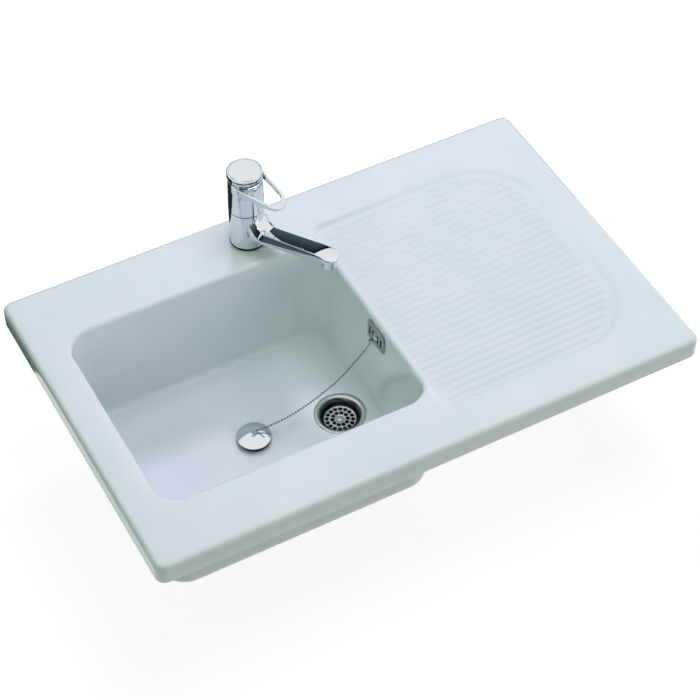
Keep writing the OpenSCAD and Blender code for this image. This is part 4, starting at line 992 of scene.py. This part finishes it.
def in_shaded_slots(face):
    """The walls of the overflow plate's slots, in the plate's own frame, painted black as painted shade."""
    at = overflow_matrix().inverted() @ face.center / MM
    return 0.9 < at.z < 2.95 and abs(at.x) < 20 and abs(at.y) < 8.4


def in_shaded_grooves(face):
    """The grooves round the lever's cap, painted black as painted shade."""
    at = face.center / MM
    z = at.z - SINK["rim"]
    return 26.2 < math.hypot(at.x - TAP[0], at.y - TAP[1]) < 27.3 and (136 < z < 138 or 142.2 < z < 144.1)


make_chain()
dress(make_sink(), "stoneware", "sink", "sink_body")
strainer = dress(make_strainer(), "stainless", "sink", "waste_strainer")
strainer.data.materials[0] = strainer_steel()
dress(make_waste_screw(), "stainless", "sink", "waste_screw")
paint_shade_black(dress(make_waste_body(), "white_plastic", "sink", "waste_body"), in_shaded_chamber)
dress(make_pipe_nuts(), "white_plastic", "sink", "overflow_pipe_nuts")
plate = dress(make_overflow_plate(), "chrome", "sink", "overflow_plate")
# The plate takes the greyer chrome: painted shade
plate.data.materials[0] = shaded_lime_marked_chrome()
paint_shade_black(plate, in_shaded_slots)
dress(make_plug_cap(), "chrome", "stopper", "stopper_cap")
dress(make_plug_rubber(), "rubber", "stopper", "stopper_seal")
# The foot ring's lower part is painted black: painted shade where it meets the deck
paint_shade_black(dress(make_tap_base(), "chrome", "sink", "tap_base"), lambda face: face.center.z / MM - SINK["rim"] < 5.2)
dress(make_sleeve(), "chrome", "sink", "tap_sleeve")
dress(make_spout(), "chrome", "spout", "spout_body")
dress(make_aerator(), "chrome", "spout", "aerator_housing")
paint_shade_black(dress(make_lever(), "chrome", "lever", "lever_handle"), in_shaded_grooves)
dress(make_cap_disc(), "chrome", "lever", "lever_insert")

# Solids that no piece replaces take the finish of their slot
for part in frame["record"]["subparts"]:
    node = frame["nodes"][part["node"]]
    if not node.hide_render:
        node.data.materials.clear()
        node.data.materials.append(FINISH[part["material_slot"]])


# Light, backdrop and floor
def bare_material(name):
    """A material without nodes as yet, and its tree."""
    mat = bpy.data.materials.new(name)
    mat.use_nodes = True
    mat.node_tree.nodes.clear()
    return mat, mat.node_tree


def seen_directly(tree):
    """1 for camera, glossy and transmission rays, so that metal shows the same background as the camera."""
    path = add(tree, "LightPath").outputs
    first = add(tree, "Math", {"operation": "MAXIMUM"}, {0: path["Is Camera Ray"], 1: path["Is Glossy Ray"]})
    return add(tree, "Math", {"operation": "MAXIMUM"},
               {0: first.outputs[0], 1: path["Is Transmission Ray"]}).outputs[0]


def make_world():
    """White where it is seen. As light it is a pale wall low on the right and a dim green-grey window on the left."""
    world = bpy.data.worlds.new("studio")
    bpy.context.scene.world = world
    world.use_nodes = True
    tree = world.node_tree
    tree.nodes.clear()
    way = add(tree, "SeparateXYZ", None, {"Vector": add(tree, "TexCoord").outputs["Generated"]})
    right = shades(tree, way.outputs["Z"], ROOM["right"])
    left = shades(tree, way.outputs["Z"], ROOM["left"])
    side = add(tree, "MapRange", None, {"Value": way.outputs["X"]}, From_Min=-0.15, From_Max=0.15).outputs["Result"]
    both = add(tree, "Mix", {"data_type": "RGBA"}, {"Factor": side, 6: left, 7: right}).outputs[2]
    room = add(tree, "Background", None, {"Color": both}, Strength=ROOM["strength"]).outputs[0]
    plain = add(tree, "Background", None, None, Color=(1, 1, 1, 1), Strength=1.0).outputs[0]
    mix = add(tree, "MixShader", None, {0: seen_directly(tree), 1: room, 2: plain}).outputs[0]
    add(tree, "OutputWorld", None, {"Surface": mix})


def make_floor():
    """Pale floor under the lowest point: white where it is seen, with the object's shadow kept faintly on it."""
    bpy.ops.mesh.primitive_plane_add(size=FLOOR["size"], location=(0, MIDDLE_Y, FLOOR["z"]))
    floor = started("floor")
    mat, tree = bare_material("pale_floor")
    glow = add(tree, "Emission", None, None, Color=(1, 1, 1, 1), Strength=FLOOR["glow"]).outputs[0]
    paint = add(tree, "BsdfDiffuse", None, None, Color=colour(FLOOR["seen"])).outputs[0]
    seen = add(tree, "AddShader", None, {0: glow, 1: paint}).outputs[0]
    lit = add(tree, "BsdfDiffuse", None, None, Color=colour(FLOOR["lit"])).outputs[0]
    mix = add(tree, "MixShader", None, {0: seen_directly(tree), 1: lit, 2: seen}).outputs[0]
    add(tree, "OutputMaterial", None, {"Surface": mix})
    floor.data.materials.append(mat)


def make_card(name, centre, turn, width, height, stops, glow=1.0):
    """A card that only reflections see, as beside polished metal in a studio, shaded from its foot to its top."""
    bpy.ops.mesh.primitive_plane_add(size=1)
    card = started(name)
    place(card, Matrix.Translation(centre) @ turn @ Matrix.Diagonal((width, height, 1, 1)))
    mat, tree = bare_material(name)
    z = add(tree, "SeparateXYZ", None, {"Vector": add(tree, "TexCoord").outputs["Object"]}).outputs["Z"]
    foot, top = centre[2] - height / 2, centre[2] + height / 2
    share = add(tree, "MapRange", None, {"Value": z}, From_Min=foot, From_Max=top).outputs["Result"]
    paint = add(tree, "Emission", None, {"Color": shades(tree, share, stops)}, Strength=glow)
    add(tree, "OutputMaterial", None, {"Surface": paint.outputs[0]})
    card.data.materials.append(mat)
    card.visible_camera = card.visible_diffuse = card.visible_shadow = card.visible_transmission = False


def make_lamp(name, azimuth, elevation, size, power, code):
    """A softbox three metres from the sink, towards that azimuth from X and elevation. Reflections don't see it."""
    data = bpy.data.lights.new(name, "AREA")
    data.shape = "SQUARE"
    data.size = size
    data.energy = power
    data.color = colour(code)[:3]
    lamp = bpy.data.objects.new(name, data)
    turn = spin(azimuth) @ spin(90 - elevation, "Y")
    lamp.matrix_world = Matrix.Translation((0, MIDDLE_Y, 0)) @ turn @ Matrix.Translation((0, 0, 3))
    lamp.visible_glossy = False
    bpy.context.scene.collection.objects.link(lamp)


MIDDLE_Y = 0.27
FLOOR = dict(size=14, z=-0.2487, glow=0.86, seen="#8d8d8d", lit="#98a39f")
ROOM = dict(strength=1.48,
            right=[(0.0, "#fdf9fd"), (0.36, "#fdf9fd"), (0.46, "#202222"), (1.0, "#202222")],
            left=[(0.0, "#666c6b"), (0.34, "#666c6b"), (0.44, "#9cbb9b"), (0.74, "#9cbb9b"), (0.86, "#202222")])
LEVEL = Matrix.Identity(4)
UPRIGHT = spin(90, "X")
SIDEWAYS = spin(90) @ UPRIGHT
DUSK = [(0.0, "#7d8e8f"), (0.45, "#56696d"), (0.72, "#34454a"), (0.9, "#0d1315")]
make_world()
make_floor()
make_card("back_card", (0, 2.6, 0.7), UPRIGHT, 7, 1.9, DUSK)
make_card("left_card", (-2.8, 0.3, 1.02), SIDEWAYS, 5, 2.54, DUSK)
make_card("front_card", (-1, -2.7, 2.0), UPRIGHT, 6, 4.5, [(0.0, "#6d7a79"), (0.3, "#2a3335"), (0.8, "#14191a")])
make_card("low_card", (0, 1.62, -0.245), LEVEL, 5, 1.96, [(0.0, "#262e2d"), (1.0, "#262e2d")])
# The strip glows though it is no lamp: a bright band that only reflections see, a painted highlight source
make_card("strip", (1.0, -2.3, 1.72), UPRIGHT, 3, 0.3, [(0.0, "#f4f8f6"), (1.0, "#f4f8f6")], 7.0)
make_lamp("key", 71, 54, 0.45, 24, "#eadaff")
make_lamp("overhead", 0, 80, 1.8, 43.5, "#f6f5ff")
bpy.context.scene.view_settings.view_transform = "Standard"
